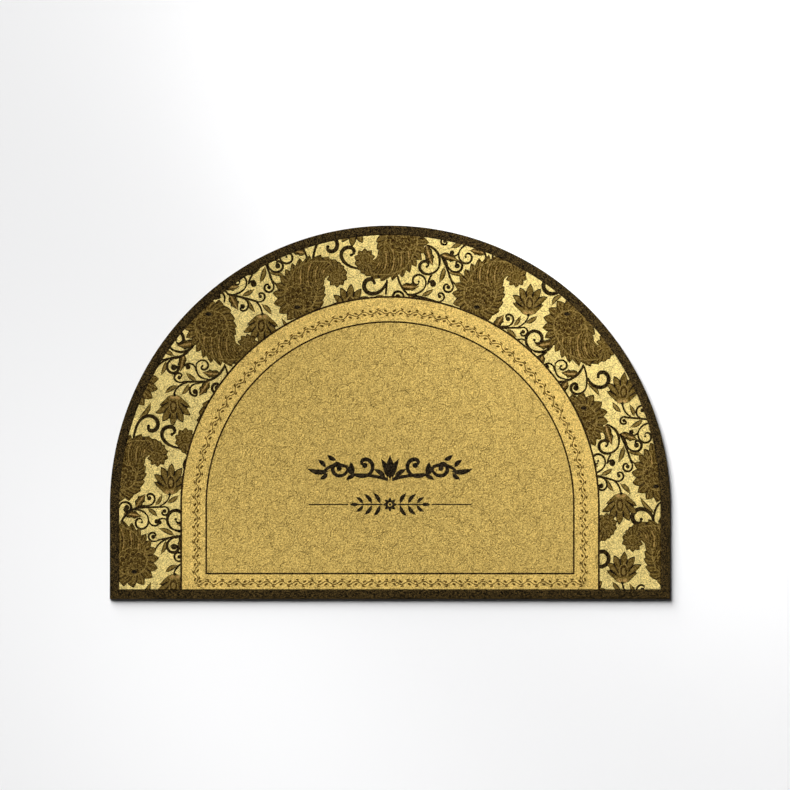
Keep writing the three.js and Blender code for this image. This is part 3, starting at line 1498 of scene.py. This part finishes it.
@dataclass(frozen=True)
class ClothFinish:
    """Plain woven cloth of one colour, with fine grain and a little wear."""

    name: str
    tufts: Tufts
    colour: Colour
    thread: float
    grain: float
    variation: float
    bump: float
    roughness: float = 0.88
    side_slant: float = 0.7
    bump_depth: float = 0.6
    speckle_gain: float = 3.0
    wear_scale: float = 0.02
    wear_range: float = 0.12
    weave_range: float = 0.05

    def make(self) -> bpy.types.Material:
        """Make the material.

        Returns:
            The material.
        """
        surface = Surface(self.name, self.roughness)
        graph = surface.graph
        solid = surface.place(flat=False)
        x = graph.measure("DOT_PRODUCT", solid, (1.0, 0.0, self.side_slant))
        y = graph.measure("DOT_PRODUCT", solid, (0.0, 1.0, self.side_slant))
        place = graph.join(x, y)
        warp = graph.math("SINE", x * (FULL_TURN / self.thread))
        over = warp * graph.math("SINE", y * (FULL_TURN / self.thread))
        tuft = graph.use(self.tufts.group, Place=place, Pitch=self.grain)
        speckle = tuft["Shade"] * tuft["Shade"] * self.speckle_gain
        wear = graph.noise(place, self.wear_scale, dimensions="3D")
        base = 1.0 - self.variation - self.wear_range / 2.0
        shade = speckle * self.variation + wear * self.wear_range + over * self.weave_range + base
        colour = graph.vector("MULTIPLY", graph.join(shade, shade, shade), self.colour[:3])
        return surface.finish(colour, over * 0.3 + tuft["Height"], self.bump, self.bump_depth)


@dataclass(frozen=True)
class ArchSweep:
    """Carries a section round the mat's outline: the arc, both sides and the straight edge."""

    plan: MatPlan
    arc_steps: int = 96

    def build(self, section: Sequence[Point], closed: bool) -> bmesh.types.BMesh:
        """Sweep a section.

        Args:
            section: Its points as inset and height in mm.
            closed: Whether its last point joins its first.

        Returns:
            The swept surface in metres.
        """
        plan = self.plan
        bm = bmesh.new()
        at = plan.head_centre
        ring = [bm.verts.new((plan.head_radius - inset, at, height)) for inset, height in section]
        pairs = list(zip(ring, ring[1:]))
        if closed:
            pairs.append((ring[-1], ring[0]))
        start = [bm.edges.new(pair) for pair in pairs]
        spun = bmesh.ops.spin(
            bm,
            geom=ring + start,
            cent=(0.0, plan.head_centre, 0.0),
            axis=(0.0, 0.0, 1.0),
            angle=math.pi,
            steps=self.arc_steps,
        )
        end = [item for item in spun["geom_last"] if isinstance(item, bmesh.types.BMEdge)]
        self._lower(bm, end)
        foot = self._lower(bm, start)
        across = bmesh.ops.extrude_edge_only(bm, edges=foot)["geom"]
        for vert in (item for item in across if isinstance(item, bmesh.types.BMVert)):
            vert.co.x = -vert.co.x
        bmesh.ops.remove_doubles(bm, verts=bm.verts, dist=0.001)
        return bm

    def _lower(self, bm: bmesh.types.BMesh, edges: list[bmesh.types.BMEdge]) -> list[bmesh.types.BMEdge]:
        """Draw the end of the arc down to the straight edge, mitred.

        Args:
            bm: The mesh.
            edges: The section at the end of the arc.

        Returns:
            The section at the corner.
        """
        drawn = bmesh.ops.extrude_edge_only(bm, edges=edges)["geom"]
        for vert in (item for item in drawn if isinstance(item, bmesh.types.BMVert)):
            vert.co.y = self.plan.straight_edge + self.plan.head_radius - abs(vert.co.x)
        return [item for item in drawn if isinstance(item, bmesh.types.BMEdge)]


def finish_mesh(bm: bmesh.types.BMesh, name: str, smooth: bool) -> bpy.types.Object:
    """Turn a mesh in millimetres into an object in metres, its faces turned outwards.

    Args:
        bm: The mesh.
        name: The object's name.
        smooth: Whether its faces are shaded smooth.

    Returns:
        The object, in the scene.
    """
    bmesh.ops.scale(bm, vec=(MM, MM, MM), verts=bm.verts)
    bmesh.ops.recalc_face_normals(bm, faces=bm.faces)
    for face in bm.faces:
        face.smooth = smooth
    mesh = bpy.data.meshes.new(name)
    bm.to_mesh(mesh)
    bm.free()
    return show(name, mesh)


def show(name: str, data: bpy.types.ID) -> bpy.types.Object:
    """Put a mesh, lamp or camera into the scene as an object."""
    made = bpy.data.objects.new(name, data)
    bpy.context.scene.collection.objects.link(made)
    return made


def set_tint(mesh: bpy.types.Mesh, values: np.ndarray) -> None:
    """Store how much lighter or darker than the rest each point of a mesh is."""
    shade = mesh.attributes.new("tone_and_gap_shade", "FLOAT", "POINT")
    shade.data.foreach_set("value", values.astype(np.float32))


# How the flat map is laid out: the underside is drawn small above the top, clear of the map's edges
MAP_FOOT = 1.0 / 3.0
UNDERSIDE_SCALE = 0.45
UNDERSIDE_U = 0.01
UNDERSIDE_V = 0.69
MAP_MARGIN = 0.0005


def flat_map(made: bpy.types.Object, plan: MatPlan) -> None:
    """Unfold an object straight down onto its map, its underside beside its top.

    Args:
        made: The object.
        plan: The mat's plan, which the map covers.
    """
    mesh = made.data
    count = len(mesh.loops)
    corners = np.empty(count, dtype=np.int32)
    mesh.loops.foreach_get("vertex_index", corners)
    places = np.empty(len(mesh.vertices) * 3, dtype=np.float32)
    mesh.vertices.foreach_get("co", places)
    places = places.reshape(-1, 3)[corners]
    normals = np.empty(len(mesh.polygons) * 3, dtype=np.float32)
    mesh.polygons.foreach_get("normal", normals)
    totals = np.empty(len(mesh.polygons), dtype=np.int32)
    mesh.polygons.foreach_get("loop_total", totals)
    below = np.repeat(normals.reshape(-1, 3)[:, 2] < -0.5, totals)
    width = plan.width * MM
    u = places[:, 0] / width + 0.5
    v = places[:, 1] / width + MAP_FOOT
    u = np.where(below, u * UNDERSIDE_SCALE + UNDERSIDE_U, u)
    v = np.where(below, v * UNDERSIDE_SCALE + UNDERSIDE_V, v)
    flat = np.clip(np.stack((u, v), axis=1), MAP_MARGIN, 1.0 - MAP_MARGIN)
    layer = mesh.uv_layers.new(name="OFBake")
    layer.data.foreach_set("uv", flat.astype(np.float32).ravel())


class GroundSlot(Enum):
    """The ground's material slots."""

    FLORAL = 0
    FIELD = 1
    BACKING = 2


@dataclass
class PileGround:
    """The cloth that the loops stand on, printed on top and plain below, with a thin rim; its top carries
    painted shade.
    """

    plan: MatPlan
    top: float = 6.75
    # painted shade: the ground shows between the loops and is made darker, as shade falls in those gaps
    tone_and_gap_shade: float = -0.25
    shoulder: float = 1.0
    rim_inset: float = 1.8
    rim_bottom: float = 1.8
    rim_top: float = 5.2

    def build(
        self,
        floral: bpy.types.Material,
        field_finish: bpy.types.Material,
        backing: bpy.types.Material,
    ) -> bpy.types.Object:
        """Build the ground.

        Args:
            floral: The floral pile's material.
            field_finish: The field pile's material.
            backing: The underside's material.

        Returns:
            The object.
        """
        plan = self.plan
        edge = plan.panel_inset
        band = plan.head_radius - plan.outer_ring
        section = (
            (band, self.top),
            (edge + self.shoulder, self.top),
            (edge + 0.3 * self.shoulder, self.top - 0.3 * self.shoulder),
            (edge, self.top - self.shoulder),
            (edge, self.rim_top),
            (self.rim_inset, self.rim_top),
            (self.rim_inset, self.rim_bottom),
            (edge, self.rim_bottom),
            (edge, 0.0),
        )
        bm = ArchSweep(plan).build(section, closed=False)
        halfway = self.top / 2.0
        rims = [line for line in bm.edges if line.is_boundary]
        upper = [line for line in rims if line.verts[0].co.z > halfway]
        lower = [line for line in rims if line.verts[0].co.z <= halfway]
        bmesh.ops.contextual_create(bm, geom=upper)
        bmesh.ops.contextual_create(bm, geom=lower)
        for side in (-1.0, 1.0):
            low = [face for face in bm.faces if face.calc_center_median().y < plan.straight_edge + band]
            parts = {item for face in low for item in (face, *face.edges, *face.verts)}
            cut = (side * plan.outer_ring, 0.0, 0.0)
            bmesh.ops.bisect_plane(bm, geom=list(parts), plane_co=cut, plane_no=(1.0, 0.0, 0.0))
        for face in bm.faces:
            middle = face.calc_center_median()
            radius = float(plan.ring_radius(np.array(middle.x), np.array(middle.y)))
            slot = GroundSlot.FLORAL if radius > plan.outer_ring else GroundSlot.FIELD
            if all(vert.co.z < self.rim_bottom / 2.0 for vert in face.verts):
                slot = GroundSlot.BACKING
            face.material_index = slot.value
        made = finish_mesh(bm, "pile_ground", smooth=False)
        # painted shade over the whole ground, which shows in the gaps between the loops
        set_tint(made.data, np.full(len(made.data.vertices), self.tone_and_gap_shade))
        for material in (floral, field_finish, backing):
            made.data.materials.append(material)
        flat_map(made, plan)
        return made


class Lie(NamedTuple):
    """How loops lie in the curl that holds them."""

    heading: np.ndarray
    from_rim: np.ndarray


@dataclass(frozen=True)
class Curls:
    """The round curls that the loops are laid in, each lying over some of its neighbours."""

    plan: MatPlan
    spacing: float = 20.0
    smallest: float = 10.5
    largest: float = 22.0
    jitter: float = 0.42
    lean: float = 0.22
    seed: int = 12
    batch: int = 40000

    def lie(self, x: np.ndarray, y: np.ndarray) -> Lie:
        """Find how points of the pile lie in the uppermost curl that holds them.

        Args:
            x: The points' places across the mat.
            y: Their places along the mat.

        Returns:
            The headings there and how far inside their curl's rim they are.
        """
        rng = np.random.default_rng(self.seed)
        half = self.plan.head_radius + 4.0 * self.spacing
        steps = np.arange(-half, half, self.spacing)
        count = len(steps)
        across, along = (grid.ravel() for grid in np.meshgrid(steps, steps))
        across = across + rng.uniform(-self.jitter, self.jitter, across.shape) * self.spacing
        along = along + rng.uniform(-self.jitter, self.jitter, along.shape) * self.spacing
        radius = rng.uniform(self.smallest, self.largest, across.shape)
        order = rng.permutation(len(across)).astype(float)
        hand = rng.choice((-1.0, 1.0), across.shape)
        reach = np.arange(-2, 3)
        near = (reach[:, None] * count + reach[None, :]).ravel()
        heading, from_rim = np.empty_like(x), np.empty_like(x)
        for start in range(0, len(x), self.batch):
            part = slice(start, start + self.batch)
            column = np.rint((x[part] + half) / self.spacing).astype(int)
            line = np.rint((y[part] + half) / self.spacing).astype(int)
            curls = (line * count + column)[:, None] + near
            run = x[part, None] - across[curls]
            rise = y[part, None] - along[curls]
            distance = np.hypot(run, rise)
            inside = radius[curls] - distance
            rows = np.arange(len(curls))
            held = np.where(inside > 0.0, order[curls] + 1.0, inside / 1000.0).argmax(axis=1)
            turn = np.arctan2(rise[rows, held], run[rows, held])
            heading[part] = turn + math.pi / 2.0 + hand[curls[rows, held]] * self.lean
            from_rim[part] = inside[rows, held]
        return Lie(heading, from_rim)


class Loops(NamedTuple):
    """Loops of yarn: middles, directions, lengths, sideways bows, heights of tops, and tints."""

    x: np.ndarray
    y: np.ndarray
    angle: np.ndarray
    length: np.ndarray
    bend: np.ndarray
    crown: np.ndarray
    tone_and_gap_shade: np.ndarray


@dataclass
class LoopField:
    """The fine loops of yarn, laid in curls and kept clear of the tape."""

    plan: MatPlan
    pitch: float = 3.75
    row_share: float = 0.9
    scatter: float = 1.2
    clearance: float = 0.4
    end_clearance: float = 0.5
    length: float = 8.6
    length_range: Point = (0.8, 1.15)
    shortest: float = 3.0
    heading_scatter: float = 0.2
    bend: float = 0.8
    tone_and_gap_shade: float = 0.15
    overlap: float = 6.0
    width: float = 1.9
    foot: float = 5.3
    crown: float = 7.6
    crown_scatter: float = 0.3
    rim_drop: float = 0.6
    rim_width: float = 1.9
    rings: int = 4
    place_seed: int = 41
    shape_seed: int = 48
    pieces_limit: int = 8000

    def places(self) -> tuple[np.ndarray, np.ndarray]:
        """Where the loops stand.

        Returns:
            Their middles across and along the mat.
        """
        rng = np.random.default_rng(self.place_seed)
        plan = self.plan
        across = np.arange(-plan.head_radius, plan.head_radius, self.pitch)
        rows = np.arange(plan.straight_edge, plan.depth / 2.0, self.pitch * self.row_share)
        x, y = np.meshgrid(across, rows)
        x = x + (np.arange(len(rows)) % 2)[:, None] * self.pitch / 2.0
        x = (x + rng.uniform(-self.scatter, self.scatter, x.shape)).ravel()
        y = (y + rng.uniform(-self.scatter, self.scatter, y.shape)).ravel()
        keep = plan.inset(x, y) > plan.panel_inset + self.width / 2.0 + self.clearance
        return x[keep], y[keep]

    def build(self, zone: PileZone, material: bpy.types.Material) -> list[bpy.types.Object]:
        """Build the loops of one zone.

        Args:
            zone: The zone.
            material: Its pile's material.

        Returns:
            The objects, each holding no more than pieces_limit loops. The objects, each
            below the limit on triangles.
        """
        rng = np.random.default_rng(self.shape_seed)
        x, y = self.places()
        lie = Curls(self.plan).lie(x, y)
        angle = lie.heading + rng.normal(0.0, self.heading_scatter, x.shape)
        length = self.length * rng.uniform(*self.length_range, x.shape)
        bend = rng.uniform(-self.bend, self.bend, x.shape)
        at_rim = np.clip(1.0 - lie.from_rim / self.rim_width, 0.0, 1.0)
        crown = self.crown - rng.uniform(0.0, self.crown_scatter, x.shape) - at_rim * self.rim_drop
        tone_and_gap_shade = rng.uniform(-self.tone_and_gap_shade, self.tone_and_gap_shade, x.shape)
        room = self.plan.inset(x, y) - self.plan.panel_inset - self.end_clearance
        reach = np.minimum(length / 2.0, room / np.maximum(self._towards_edge(x, y, angle), 0.05))
        length = np.maximum(2.0 * reach, self.shortest)
        in_floral = self.plan.ring_radius(x, y) > self.plan.outer_ring - self.overlap
        chosen = np.flatnonzero(in_floral if zone is PileZone.FLORAL else ~in_floral)
        loops = Loops(x, y, angle, length, bend, crown, tone_and_gap_shade)
        count = math.ceil(len(chosen) / self.pieces_limit)
        return [
            self._piece(f"pile_loops_{zone.value}_{number}", material, Loops(*(row[part] for row in loops)))
            for number, part in enumerate(np.array_split(chosen, count), start=1)
        ]

    def _towards_edge(self, x: np.ndarray, y: np.ndarray, angle: np.ndarray) -> np.ndarray:
        """How squarely each loop points at the mat's nearest edge, 0 to 1.

        Args:
            x: The loops' middles across the mat.
            y: The loops' middles along the mat.
            angle: The loops' directions.

        Returns:
            The share of each loop's length that is spent on the way to the edge.
        """
        plan = self.plan
        rise = np.maximum(y - plan.head_centre, 0.0)
        radius = np.maximum(np.hypot(x, rise), 1.0)
        at_foot = (y - plan.straight_edge) < (plan.head_radius - radius)
        out_x = np.where(at_foot, 0.0, x / radius)
        out_y = np.where(at_foot, -1.0, rise / radius)
        return np.abs(np.cos(angle) * out_x + np.sin(angle) * out_y)

    def _piece(self, name: str, material: bpy.types.Material, loops: Loops) -> bpy.types.Object:
        """Join loops into one mesh of closed, three-sided tubes.

        Args:
            name: The object's name.
            material: Its material.
            loops: The loops.

        Returns:
            The object.
        """
        stations = np.linspace(-0.86, 0.86, self.rings)
        arch = np.sqrt(1.0 - stations**2)
        half = self.width / 2.0 * arch**0.5
        side = np.stack((-half, np.zeros(self.rings), half), axis=1)
        along = np.repeat(stations[:, None], 3, axis=1)
        lift = np.stack((arch * 0.35, arch, arch * 0.35), axis=1)
        along = np.concatenate((along.ravel(), (-1.0, 1.0)))
        side = np.concatenate((side.ravel(), (0.0, 0.0)))
        lift = np.concatenate((lift.ravel(), (0.0, 0.0)))
        bow = 1.0 - along**2
        run = along[None, :] * loops.length[:, None] / 2.0
        off = side[None, :] + bow[None, :] * loops.bend[:, None]
        cos, sin = np.cos(loops.angle)[:, None], np.sin(loops.angle)[:, None]
        height = self.foot + lift[None, :] * (loops.crown - self.foot)[:, None]
        x = loops.x[:, None] + run * cos - off * sin
        y = loops.y[:, None] + run * sin + off * cos
        places = np.stack((x, y, height), axis=2)
        faces = self._tube_faces()
        corners = len(along)
        starts = np.arange(len(x)) * corners
        indices = (faces[None, :, :] + starts[:, None, None]).reshape(-1, 3)
        mesh = bpy.data.meshes.new(name)
        mesh.vertices.add(len(x) * corners)
        mesh.vertices.foreach_set("co", (places * MM).astype(np.float32).ravel())
        mesh.loops.add(len(indices) * 3)
        mesh.loops.foreach_set("vertex_index", indices.astype(np.int32).ravel())
        mesh.polygons.add(len(indices))
        mesh.polygons.foreach_set("loop_start", np.arange(0, len(indices) * 3, 3, dtype=np.int32))
        mesh.update(calc_edges=True)
        mesh.shade_smooth()
        set_tint(mesh, np.repeat(loops.tone_and_gap_shade, corners))
        made = show(name, mesh)
        mesh.materials.append(material)
        flat_map(made, self.plan)
        log.info("%s: %d loops, %d triangles", name, len(x), len(indices))
        return made

    def _tube_faces(self) -> np.ndarray:
        """Corner numbers of one tube's triangles, turned outwards.

        Returns:
            The triangles.
        """
        faces = []
        for ring in range(self.rings - 1):
            for corner in range(3):
                here, there = ring * 3 + corner, ring * 3 + (corner + 1) % 3
                faces.append((here, here + 3, there))
                faces.append((there, here + 3, there + 3))
        first, last, base = self.rings * 3, self.rings * 3 + 1, (self.rings - 1) * 3
        for corner in range(3):
            after = (corner + 1) % 3
            faces.append((first, corner, after))
            faces.append((last, base + after, base + corner))
        return np.array(faces)


@dataclass
class Binding:
    """The dark tape folded over the rim and sewn down."""

    plan: MatPlan
    thickness: float = 1.5
    round_radius: float = 1.0
    round_steps: int = 5
    crown: float = 0.25
    stitch_inset: float = 11.4
    stitch_pitch: float = 6.5
    stitch_length: float = 4.4
    stitch_radius: float = 0.45
    stitch_sink: float = 0.12
    stitch_height: float = 0.8
    lip_start: float = 1.0
    lip_drop: float = 0.1
    lip_corner: float = 0.25
    lip_depth: float = 0.7

    def section(self) -> list[Point]:
        """The tape's cross-section: a flat C that opens inwards.

        Returns:
            Its points as inset and height.
        """
        plan = self.plan
        width, top = plan.binding_width, plan.binding_top
        radius = self.round_radius
        steps = [math.pi / 2.0 * step / self.round_steps for step in range(self.round_steps + 1)]
        lower = [(radius - radius * math.sin(turn), radius - radius * math.cos(turn)) for turn in steps]
        upper = [
            (radius - radius * math.cos(turn), top - radius + radius * math.sin(turn)) for turn in steps
        ]
        skin = self.thickness
        return [
            (width, 0.0),
            *lower,
            *upper,
            (width * 0.5, top),
            (self.stitch_inset, top - self.stitch_sink),
            (width - self.lip_start, top - self.lip_drop),
            (width - self.lip_corner, top - self.crown),
            (width, top - self.lip_depth),
            (width, top - skin),
            (skin, top - skin),
            (skin, skin),
            (width, skin),
        ]

    def build(self, material: bpy.types.Material) -> bpy.types.Object:
        """Build the tape.

        Args:
            material: Its material.

        Returns:
            The object.
        """
        bm = ArchSweep(self.plan).build(self.section(), closed=True)
        made = finish_mesh(bm, "binding_tape", smooth=True)
        made.data.materials.append(material)
        flat_map(made, self.plan)
        return made

    def stitches(self, material: bpy.types.Material) -> bpy.types.Object:
        """Sew the tape down: short threads end to end near its inner edge.

        Args:
            material: The thread's material.

        Returns:
            The object.
        """
        plan = self.plan
        radius = plan.head_radius - self.stitch_inset
        side = plan.head_centre - plan.straight_edge - self.stitch_inset
        course = plan.outline_length(self.stitch_inset)
        count = round(course / self.stitch_pitch)
        bm = bmesh.new()
        for number in range(count):
            run = course * (number + 0.5) / count
            x, y, heading = self._on_course(run, radius, side)
            self._thread(bm, x, y, heading)
        made = finish_mesh(bm, "binding_stitches", smooth=True)
        made.data.materials.append(material)
        flat_map(made, plan)
        return made

    def _on_course(self, run: float, radius: float, side: float) -> Triple:
        """A place on the line of stitches.

        Args:
            run: How far along the line, from the right-hand end of the arc.
            radius: The line's radius on the head.
            side: The length of each upright.

        Returns:
            The place across and along the mat, and the line's heading.
        """
        plan = self.plan
        arc = math.pi * radius
        if run < arc:
            turn = run / radius
            return radius * math.cos(turn), plan.head_centre + radius * math.sin(turn), turn + math.pi / 2.0
        run -= arc
        if run < side:
            return -radius, plan.head_centre - run, -math.pi / 2.0
        run -= side
        if run < 2.0 * radius:
            return -radius + run, plan.straight_edge + self.stitch_inset, 0.0
        run -= 2.0 * radius
        return radius, plan.head_centre - side + run, math.pi / 2.0

    def _thread(self, bm: bmesh.types.BMesh, x: float, y: float, heading: float) -> None:
        """Lay one thread, its ends dipping into the tape.

        Args:
            bm: The mesh to add it to.
            x: Its middle across the mat.
            y: Its middle along the mat.
            heading: The way it lies.
        """
        made = bmesh.ops.create_icosphere(bm, subdivisions=1, radius=1.0)["verts"]
        cos, sin = math.cos(heading), math.sin(heading)
        for vert in made:
            run = vert.co.x * self.stitch_length / 2.0
            off = vert.co.y * self.stitch_radius
            rise = vert.co.z * self.stitch_radius * self.stitch_height
            height = self.plan.binding_top - self.stitch_sink + rise
            vert.co = (x + run * cos - off * sin, y + run * sin + off * cos, height)


class Pool(NamedTuple):
    """A broad pool of light on the floor: its middle and reach in metres, its power in watts."""

    name: str
    x: float
    y: float
    reach: float
    power: float


@dataclass(frozen=True)
class Studio:
    """The pale floor, the lights and the camera straight above."""

    view_width: float = 1.2687
    aim_x: float = 0.0080
    aim_y: float = 0.0278
    camera_height: float = 2.0
    floor_size: float = 6.0
    floor_colour: Colour = (0.845, 0.845, 0.85, 1.0)
    floor_roughness: float = 0.9
    floor_specular: float = 0.1
    azimuth: float = 124.5
    elevation: float = 30.0
    key_power: float = 5.85
    key_angle: float = 52.0
    sky_power: float = 0.045
    pools: tuple[Pool, ...] = (
        Pool("right", 0.406, 0.391, 0.51, 770.0),
        Pool("left", -0.215, -0.447, 0.443, 180.0),
        Pool("head", -0.132, 0.511, 0.4, 109.0),
    )
    pool_distance: float = 3.0
    pool_lamps: int = 9
    lamp_turn: float = 2.4
    lamp_overlap: float = 5.0

    def build(self) -> None:
        """Set the stage."""
        bm = bmesh.new()
        bmesh.ops.create_grid(bm, x_segments=1, y_segments=1, size=self.floor_size / 2.0)
        mesh = bpy.data.meshes.new("floor")
        bm.to_mesh(mesh)
        bm.free()
        floor = show("floor", mesh)
        material = bpy.data.materials.new("pale floor")
        material.use_nodes = True
        shader = material.node_tree.nodes["Principled BSDF"]
        shader.inputs["Base Color"].default_value = self.floor_colour
        shader.inputs["Roughness"].default_value = self.floor_roughness
        shader.inputs["Specular IOR Level"].default_value = self.floor_specular
        mesh.materials.append(material)
        self._light()
        self._camera()

    def _light(self) -> None:
        """A soft sky all round and a low soft lamp from the upper left."""
        world = bpy.data.worlds.new("soft sky")
        world.use_nodes = True
        background = world.node_tree.nodes["Background"]
        background.inputs["Color"].default_value = (1.0, 1.0, 1.0, 1.0)
        background.inputs["Strength"].default_value = self.sky_power
        bpy.context.scene.world = world
        lamp = bpy.data.lights.new("key", "SUN")
        lamp.energy = self.key_power
        lamp.angle = math.radians(self.key_angle)
        key = show("key", lamp)
        key.rotation_euler = (math.radians(90.0 - self.elevation), 0.0, math.radians(self.azimuth + 90.0))
        for pool in self.pools:
            self._pool(pool)

    def _pool(self, pool: Pool) -> None:
        """Light a pool: a bank of lamps on the key's side, all aimed at one spot.

        Args:
            pool: The pool.
        """
        azimuth, elevation = math.radians(self.azimuth), math.radians(self.elevation)
        level = Vector((math.cos(azimuth), math.sin(azimuth), 0.0))
        away = level * math.cos(elevation) + Vector((0.0, 0.0, math.sin(elevation)))
        across = Vector((-math.sin(azimuth), math.cos(azimuth), 0.0))
        upward = away.cross(across)
        spot = Vector((pool.x, pool.y, 0.0))
        spread = self.pool_distance * math.tan(math.radians(self.key_angle / 2.0))
        for number in range(self.pool_lamps):
            turn = number * self.lamp_turn
            radius = spread * math.sqrt((number + 0.5) / self.pool_lamps)
            lamp = bpy.data.lights.new(f"pool {pool.name} {number}", "SPOT")
            lamp.energy = pool.power / self.pool_lamps
            lamp.spot_size = 2.0 * math.atan(pool.reach / self.pool_distance)
            lamp.spot_blend = 1.0
            lamp.shadow_soft_size = spread / self.lamp_overlap
            placed = show(lamp.name, lamp)
            aside = across * math.cos(turn) + upward * math.sin(turn)
            placed.location = spot + away * self.pool_distance + aside * radius
            placed.rotation_euler = (placed.location - spot).to_track_quat("Z", "Y").to_euler()

    def _camera(self) -> None:
        """The camera, straight above as in the photo."""
        scene = bpy.context.scene
        scene.view_settings.view_transform = "Standard"
        lens = bpy.data.cameras.new("above")
        lens.type = "ORTHO"
        lens.ortho_scale = self.view_width
        camera = show("above", lens)
        camera.location = (self.aim_x, self.aim_y, self.camera_height)
        scene.camera = camera


@dataclass
class Doormat:
    """The whole mat."""

    plan: MatPlan = field(default_factory=MatPlan.from_frame)

    def build(self) -> None:
        """Build every piece, dress it and hang it on the frame."""
        plan = self.plan
        mat_print = MatPrint(plan)
        tufts = Tufts()
        rims = Rims()
        floral = PileFinish(mat_print, tufts, rims, PileZone.FLORAL).make()
        plain = PileFinish(mat_print, tufts, rims, PileZone.FIELD).make()
        backing = ClothFinish(
            name="plain backing",
            tufts=tufts,
            colour=PALETTE.backing,
            thread=1.6,
            grain=2.4,
            variation=0.1,
            bump=0.3,
        ).make()
        tape = ClothFinish(
            name="binding cloth",
            tufts=tufts,
            colour=PALETTE.tape,
            thread=1.2,
            grain=1.2,
            variation=1.0,
            bump=0.5,
        ).make()
        ground = PileGround(plan).build(floral, plain, backing)
        loops = LoopField(plan)
        pile = loops.build(PileZone.FIELD, plain) + loops.build(PileZone.FLORAL, floral)
        binding = Binding(plan)
        border = binding.build(tape)
        thread = binding.stitches(tape)
        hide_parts("pile_panel")
        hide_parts("edge_binding")
        for piece in (ground, *pile):
            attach(piece, "root")
        for piece in (border, thread):
            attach(piece, "root")
        area = self.outline_area() * MM * MM
        size = (plan.width * MM, plan.depth * MM)
        log.info("flat size %.3f by %.3f m, area %.4f m2", *size, area)

    def outline_area(self) -> float:
        """The area inside the outline."""
        plan = self.plan
        side = plan.head_centre - plan.straight_edge
        return math.pi * plan.head_radius**2 / 2.0 + plan.width * side


def main() -> None:
    """Build the mat and its stage."""
    logging.basicConfig(level=logging.INFO, format="%(name)s: %(message)s")
    Doormat().build()
    Studio().build()


if __name__ == "__main__":
    main()
